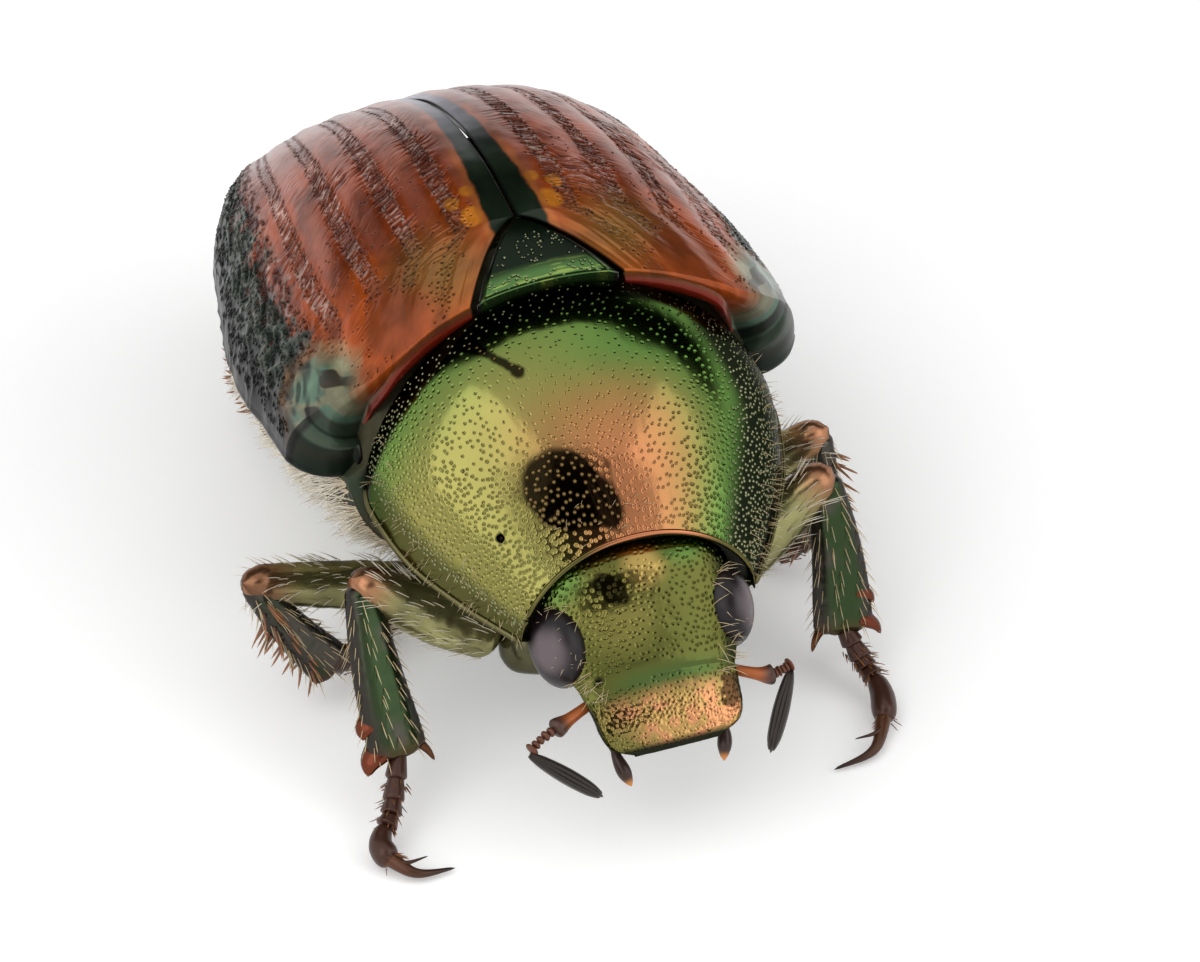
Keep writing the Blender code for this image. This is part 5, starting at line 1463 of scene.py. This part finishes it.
def core_rings(s, across):
    """Rings round the body under the wing cases, for shares s, with that many points above and below."""
    s = s[:, None]
    inset = along(CORE_INSETS, s)
    upright = np.minimum(s / UPRIGHT_FROM, 1.0)

    def place(r):
        front, end = hind_front_y(r, inset) + GAP, hind_end_y(r) - inset
        flat = mix(HIND_FRONT_Y + GAP, ELYTRA_END_Y - inset, s)
        y = mix(mix(front, end, s), flat, upright)
        return np.minimum((y - front) / (end - front), 1.12), y

    r = np.cos(math.pi * np.arange(across) / across)[None, :]
    share, y = place(r)
    above = hind_point(share, r, inset, y)
    share, y = place(-r)
    side_share = place(np.ones((1, 1)))[0]
    margin = hind_margin(side_share) - LEDGE_DROP
    width = hind_half_width(side_share) - mix(*LEDGE_INSETS, np.minimum(s / THORAX_END * 2.0, 1.0))
    z = margin - (margin - belly_z(s)) * dome(r, 2.3, 1.7)
    below = np.stack(np.broadcast_arrays(-width * r, y, z), axis=-1)
    return np.concatenate([above, below], axis=1)


def cap_end(points, row, reach):
    """The rings with three more at one end, which close it with a neck that reaches out."""
    ring = points[row]
    middle = ring.mean(axis=0)
    shares = np.array([0.92, 0.92, 0.01])[:, None, None]
    neck = np.array([0.0, reach, reach])[:, None, None] * np.array([0.0, 1.0, 0.0])
    cap = middle + (ring - middle) * shares + neck
    return np.concatenate([cap[::-1], points] if row == 0 else [points, cap])


def core_piece(name, start, end, grooves, stands_for, front_reach):
    across = 110
    s = np.linspace(start, end, 110)
    rings = core_rings(s, across)
    relief = rough(np.arange(2 * across)[None] * 0.25, s[:, None] * 60.0, 260) * 0.008
    for groove in grooves:
        relief = relief - 0.05 * bell(s - groove, 0.006)[:, None]
        relief = relief + 0.03 * bell(s - groove + 0.014, 0.012)[:, None]
    green = step(0.0, 0.8, rough(rings[..., 0], rings[..., 1], 270))
    tags = {"tint": painted(rings.shape, CORE_BRONZE, (CORE_GREEN, green))}
    points, tags, turned = skin(rings, tags, relief=relief, wrap=True)
    points = cap_end(cap_end(points, 0, -front_reach), -1, JOINT_REACH)
    tags = {k: np.pad(v, ((3, 3),) + ((0, 0),) * (v.ndim - 1), mode="edge") for k, v in tags.items()}
    sheet(name, points, "dark", stands_for, tags, turned, wrap=True)


def make_pygidium():
    rng = np.random.default_rng(SEED + 31)
    ring = core_rings(np.array([ABDOMEN_END]), 120)[0]
    centre = ring.mean(axis=0) + np.array([0.0, GAP, -0.18])
    first = centre + (ring + np.array([0.0, GAP, 0.0]) - centre) * 0.88
    a = np.linspace(0.0, math.pi / 2 - 0.02, 110)[:, None, None]
    out = np.concatenate([0 * a, PYGIDIUM_DEPTH * np.sin(a), -PYGIDIUM_DROP * np.sin(a)], axis=-1)
    points = centre + (first[None] - centre) * np.cos(a) ** 0.8 + out
    pits = []
    for row, column in scatter(rng, 110, 240, 2.6, 5.0):
        if row < 92:
            size = rng.uniform(0.024, 0.034)
            pits.append((row, column, size, size * 0.4))
    tint, form = painted(points.shape, TAIL_GREEN), {"pits": pits, "ring": 0.3, "wrap": True}
    skin_sheet("tail_shield", points, tint, "pronotum", "green_cuticle", "pygidium", **form)


# Coats of hair.

COAT_END = 0.36  # how far back the thorax coat reaches
COAT_ROWS, COAT_ROWS_END = 40, 0.5


def make_thorax_coat(side):
    """The pale hair in sheaves on the side of the thorax, under the wing case and the shield."""
    sign, rng = SIDES[side], np.random.default_rng(SEED + (41 if side == "left" else 42))
    count, across = 2900, 60
    s = rng.uniform(0.0, 1.0, count) ** 1.3 * COAT_END
    rings = core_rings(np.linspace(0.0, COAT_ROWS_END, COAT_ROWS), across)
    rows = s / COAT_ROWS_END * (COAT_ROWS - 1)
    turn = rng.uniform(0.0, 1.0, count) ** 1.4
    columns = across + 1 + turn * (across * 0.44) if sign < 0 else 2 * across - 2 - turn * (across * 0.44)
    roots = at(rings, rows, columns)
    clump = noise(rows * 0.9, columns * 0.55, 85)
    ways = np.stack([np.full(count, sign * 0.4), np.full(count, 0.8), -0.45 - 0.3 * turn], axis=-1)
    ways = ways + rng.normal(0.0, 0.2, (count, 3)) + clump[:, None] * np.array([sign * 0.2, 0.35, -0.45])
    uv = np.stack([s / COAT_ROWS_END, turn], axis=-1)
    dense = step(1.05, 0.3, turn + 0.25 * clump) * step(COAT_END, 0.1, s) * step(-0.3, 0.25, clump)
    keep = rng.uniform(0.0, 1.0, count) < dense + 0.08
    length = mix(*COAT_LENGTHS, s[keep] / COAT_END)
    coat = ([roots[keep]], [ways[keep]], [uv[keep]])
    hairs("thorax_coat", f"_{side}", *coat, "hind_thorax", int(sign), length)


def tuft(rng, count, centre, spread, flat, way, spray):
    """The roots and ways of a tuft's hairs, and how far each root lies from the centre."""
    drawn = rng.normal(0.0, [spread] * 3 + [spray] * 3, (count, 6))
    shift = drawn[:, :3] * flat
    return centre + shift, way + drawn[:, 3:], shift


def make_side_tufts(side):
    """Five white tufts along the abdomen's side, under the wing case's edge."""
    sign, rng = SIDES[side], np.random.default_rng(SEED + (51 if side == "left" else 52))
    roots, ways, places = [], [], []
    for k in range(5):
        s = mix(0.5, 0.86, k / 4)
        at_side = core_rings(np.array([s]), 60)[0][64]
        centre = at_side * np.array([sign * np.sign(at_side[0]), 1.0, 1.0])
        root, way, shift = tuft(rng, 240, centre, 0.07, (0.25, 1.0, 1.2), (sign * 0.45, 0.35, -0.7), 0.16)
        roots.append(root + np.array([0.0, 0.0, -0.08]))
        ways.append(way)
        places.append(np.stack([s + shift[:, 1] * 0.1, 0.5 + shift[:, 2] * 0.1], axis=-1))
    hairs("side_tufts", f"_{side}", roots, ways, places, "abdomen", int(sign))


def make_rear_tufts():
    """The two round white tufts on the tail shield."""
    rng = np.random.default_rng(SEED + 55)
    roots, ways, places = [], [], []
    for sign in SIDES.values():
        centre, towards = np.array([sign * 0.62, 4.02, 1.95]), (sign * 0.2, 1.0, -0.25)
        root, way, shift = tuft(rng, 420, centre, 0.12, (1.0, 0.2, 0.9), towards, 0.25)
        roots.append(root)
        ways.append(way)
        places.append(np.stack([0.5 + sign * 0.2 + shift[:, 0] * 0.1, 0.5 + shift[:, 2] * 0.1], axis=-1))
    hairs("rear_tufts", "", roots, ways, places, "pygidium")


def make_shield_hairs():
    """Short pale hairs along the sides of the pronotum, and a few by its front edge."""
    rng = np.random.default_rng(SEED + 61)
    roots, ways, places = [], [], []

    def add(s, r, way, spray):
        roots.append(pronotum_top(s, r))
        ways.append(way(roots[-1]) + rng.normal(0.0, spray, (len(s), 3)))
        places.append(np.stack([s, 0.5 + r / 2.2], axis=-1))

    for sign in SIDES.values():
        s = rng.uniform(0.0, 1.0, 130) ** 0.7
        r = sign * (1.0 - rng.uniform(0.0, 1.0, 130) ** 2.2 * 0.1)
        middle, lean = np.array([0.0, -2.9, 2.4]), np.array([sign * 0.2, -0.5, 0.25])
        add(s, r, lambda root: unit(root - middle) * 0.6 + lean, 0.25)
    s, r = rng.uniform(0.84, 0.98, 22), rng.uniform(-0.5, 0.4, 22)
    add(s, r, lambda root: np.array([-0.5, -0.45, 0.45]), 0.15)
    hairs("shield_hairs", "", roots, ways, places, "pronotum")


def make_face_hairs():
    """Golden hairs round the eyes and on the cheeks."""
    rng = np.random.default_rng(SEED + 65)
    roots, ways, places = [], [], []
    count = 55
    for sign in SIDES.values():
        u, r = rng.uniform(0.5, 1.7, count), sign * rng.uniform(0.68, 1.0, count)
        w = head_value(2, u) + head_value(3, u) * dome(r, 2.6, 1.5)
        roots.append(from_head(head_value(1, u) * r, u, w))
        ways.append(np.array([sign * 0.8, -0.5, 0.3]) + rng.normal(0.0, 0.35, (count, 3)))
        places.append(np.stack([u / 2.4, 0.5 + r / 2.2], axis=-1))
    hairs("face_hairs", "", roots, ways, places, "head")


# The studio.

FLOOR_HALF = 0.35
FLOOR_WHITE = (0.95, 0.95, 0.95, 1.0)
LENS_TURN, LENS_RISE = math.radians(-8.0), math.radians(49.0)
LENS_HALF_WIDTH, LENS_HALF_HEIGHT = math.radians(31.0), math.radians(13.5)
GAP_LOW, GAP_HIGH = (12.0, 26.0), (56.0, 60.0)  # where the dark gap fades in and out, in degrees of height
BEHIND = (0.42, 0.91, 0.0)  # the way to the dark gap
LIGHTS = {"key_light": ((-0.13, -0.07, 0.15), 0.2, 0.14), "fill_light": ((0.13, -0.12, 0.12), 0.16, 0.07)}


def make_floor():
    mesh = bpy.data.meshes.new("floor")
    a = FLOOR_HALF
    mesh.from_pydata([(-a, -a, 0), (a, -a, 0), (a, a, 0), (-a, a, 0)], [], [(0, 1, 2, 3)])
    floor = new_object("floor", mesh)
    glow = {"Emission Color": (1.0, 1.0, 1.0, 1.0), "Emission Strength": 0.16}
    mesh.materials.append(new_look("floor_white", {"Base Color": FLOOR_WHITE, "Roughness": 0.7} | glow)[0])


def out_of(turn, rise):
    """The way out at a turn and a rise, and the level way square to it, which is +X at turn 0."""
    out = (math.sin(turn) * math.cos(rise), -math.cos(turn) * math.cos(rise), math.sin(rise))
    return out, (math.cos(turn), math.sin(turn), 0.0)


def maths(tree, kind, operation, *values):
    made = tree.nodes.new(kind)
    made.operation = operation
    for socket, value in zip(made.inputs, values):
        feed(tree, socket, value)
    return made.outputs["Value"]


def make_sky():
    """A white studio with a dark gap high behind the beetle and a dark oval lens before it."""
    world = bpy.data.worlds.new("studio")
    bpy.context.scene.world = world
    world.use_nodes = True
    tree = world.node_tree
    place = shader_node(tree, "ShaderNodeTexCoord").outputs["Generated"]
    ahead, level = (np.array(way) for way in out_of(LENS_TURN, LENS_RISE))
    ways = (level / math.sin(LENS_HALF_WIDTH), np.cross(ahead, level) / math.sin(LENS_HALF_HEIGHT))
    x, y = (maths(tree, "ShaderNodeVectorMath", "DOT_PRODUCT", place, way) for way in ways)
    measured = shader_node(tree, "ShaderNodeCombineXYZ", X=x, Y=y).outputs["Vector"]
    lens = maths(tree, "ShaderNodeVectorMath", "LENGTH", measured)
    disc = ramp(tree, lens, 0.02, 1.0, 0.92, 1.05, "SMOOTHSTEP")
    height = shader_node(tree, "ShaderNodeSeparateXYZ", Vector=place).outputs["Z"]
    low = ramp(tree, height, 1.0, 0.0, *(math.sin(math.radians(a)) for a in GAP_LOW), "SMOOTHSTEP")
    high = ramp(tree, height, 0.0, 1.0, *(math.sin(math.radians(a)) for a in GAP_HIGH), "SMOOTHSTEP")
    behind = maths(tree, "ShaderNodeVectorMath", "DOT_PRODUCT", place, BEHIND)
    front = ramp(tree, behind, 1.0, 0.0, 0.28, 0.4, "SMOOTHSTEP")
    band = maths(tree, "ShaderNodeMath", "MAXIMUM", low, high)
    whole = maths(tree, "ShaderNodeMath", "MAXIMUM", band, front)
    back = tree.nodes["Background"].inputs
    tree.links.new(maths(tree, "ShaderNodeMath", "MULTIPLY", whole, disc), back["Color"])
    back["Strength"].default_value = 1.12


def make_light(name, place, size, power):
    """A soft square light that looks at the beetle's middle."""
    data = bpy.data.lights.new(name, "AREA")
    data.energy = power
    data.size = size
    lamp = new_object(name, data)
    lamp.location = place
    lamp.rotation_euler = (Vector((0.0, 0.0, 0.003)) - Vector(place)).to_track_quat("-Z", "Y").to_euler()


def make_camera():
    back, level = (Vector(way) for way in out_of(VIEW_TURN, VIEW_RISE))
    upright = back.cross(level)
    right = level * math.cos(VIEW_ROLL) + upright * math.sin(VIEW_ROLL)
    up = upright * math.cos(VIEW_ROLL) - level * math.sin(VIEW_ROLL)
    aim = Vector(VIEW_CENTRE + AWAY) + right * VIEW_RIGHT - up * VIEW_DOWN
    place = (aim + back * (FRAME_WIDTH * LENS / SENSOR)) * MM
    data = bpy.data.cameras.new("camera")
    data.lens = LENS
    data.sensor_width = SENSOR
    data.clip_start = 0.01
    data.clip_end = 10.0
    camera = new_object("camera", data)
    camera.matrix_world = Matrix.Translation(place) @ Matrix((right, up, back)).transposed().to_4x4()
    bpy.context.scene.camera = camera


bpy.context.scene.view_settings.view_transform = "Standard"
make_camera()
make_floor()
make_sky()
for light_name, light_form in LIGHTS.items():
    make_light(light_name, *light_form)
make_pronotum()
make_prosternum()
make_pronotum_edges()
make_scutellum()
make_head()
make_head_underside()
make_mouth()
for label in SIDES:
    for make in (make_elytron, make_eye, make_stem, make_club, make_palp, make_thorax_coat, make_side_tufts):
        make(label)
core_piece("thorax", 0.0, THORAX_END, (0.18,), "hind_thorax", 0.0)
core_piece("abdomen_rings", THORAX_END + 0.01, ABDOMEN_END, (0.53, 0.62, 0.71, 0.8), "abdomen", JOINT_REACH)
make_pygidium()
make_rear_tufts()
make_shield_hairs()
make_face_hairs()
for number, leg_name in enumerate(LEGS):
    one_leg = Leg(leg_name, number)
    for make in (make_thigh, make_shin, make_foot, make_leg_hairs):
        make(one_leg)
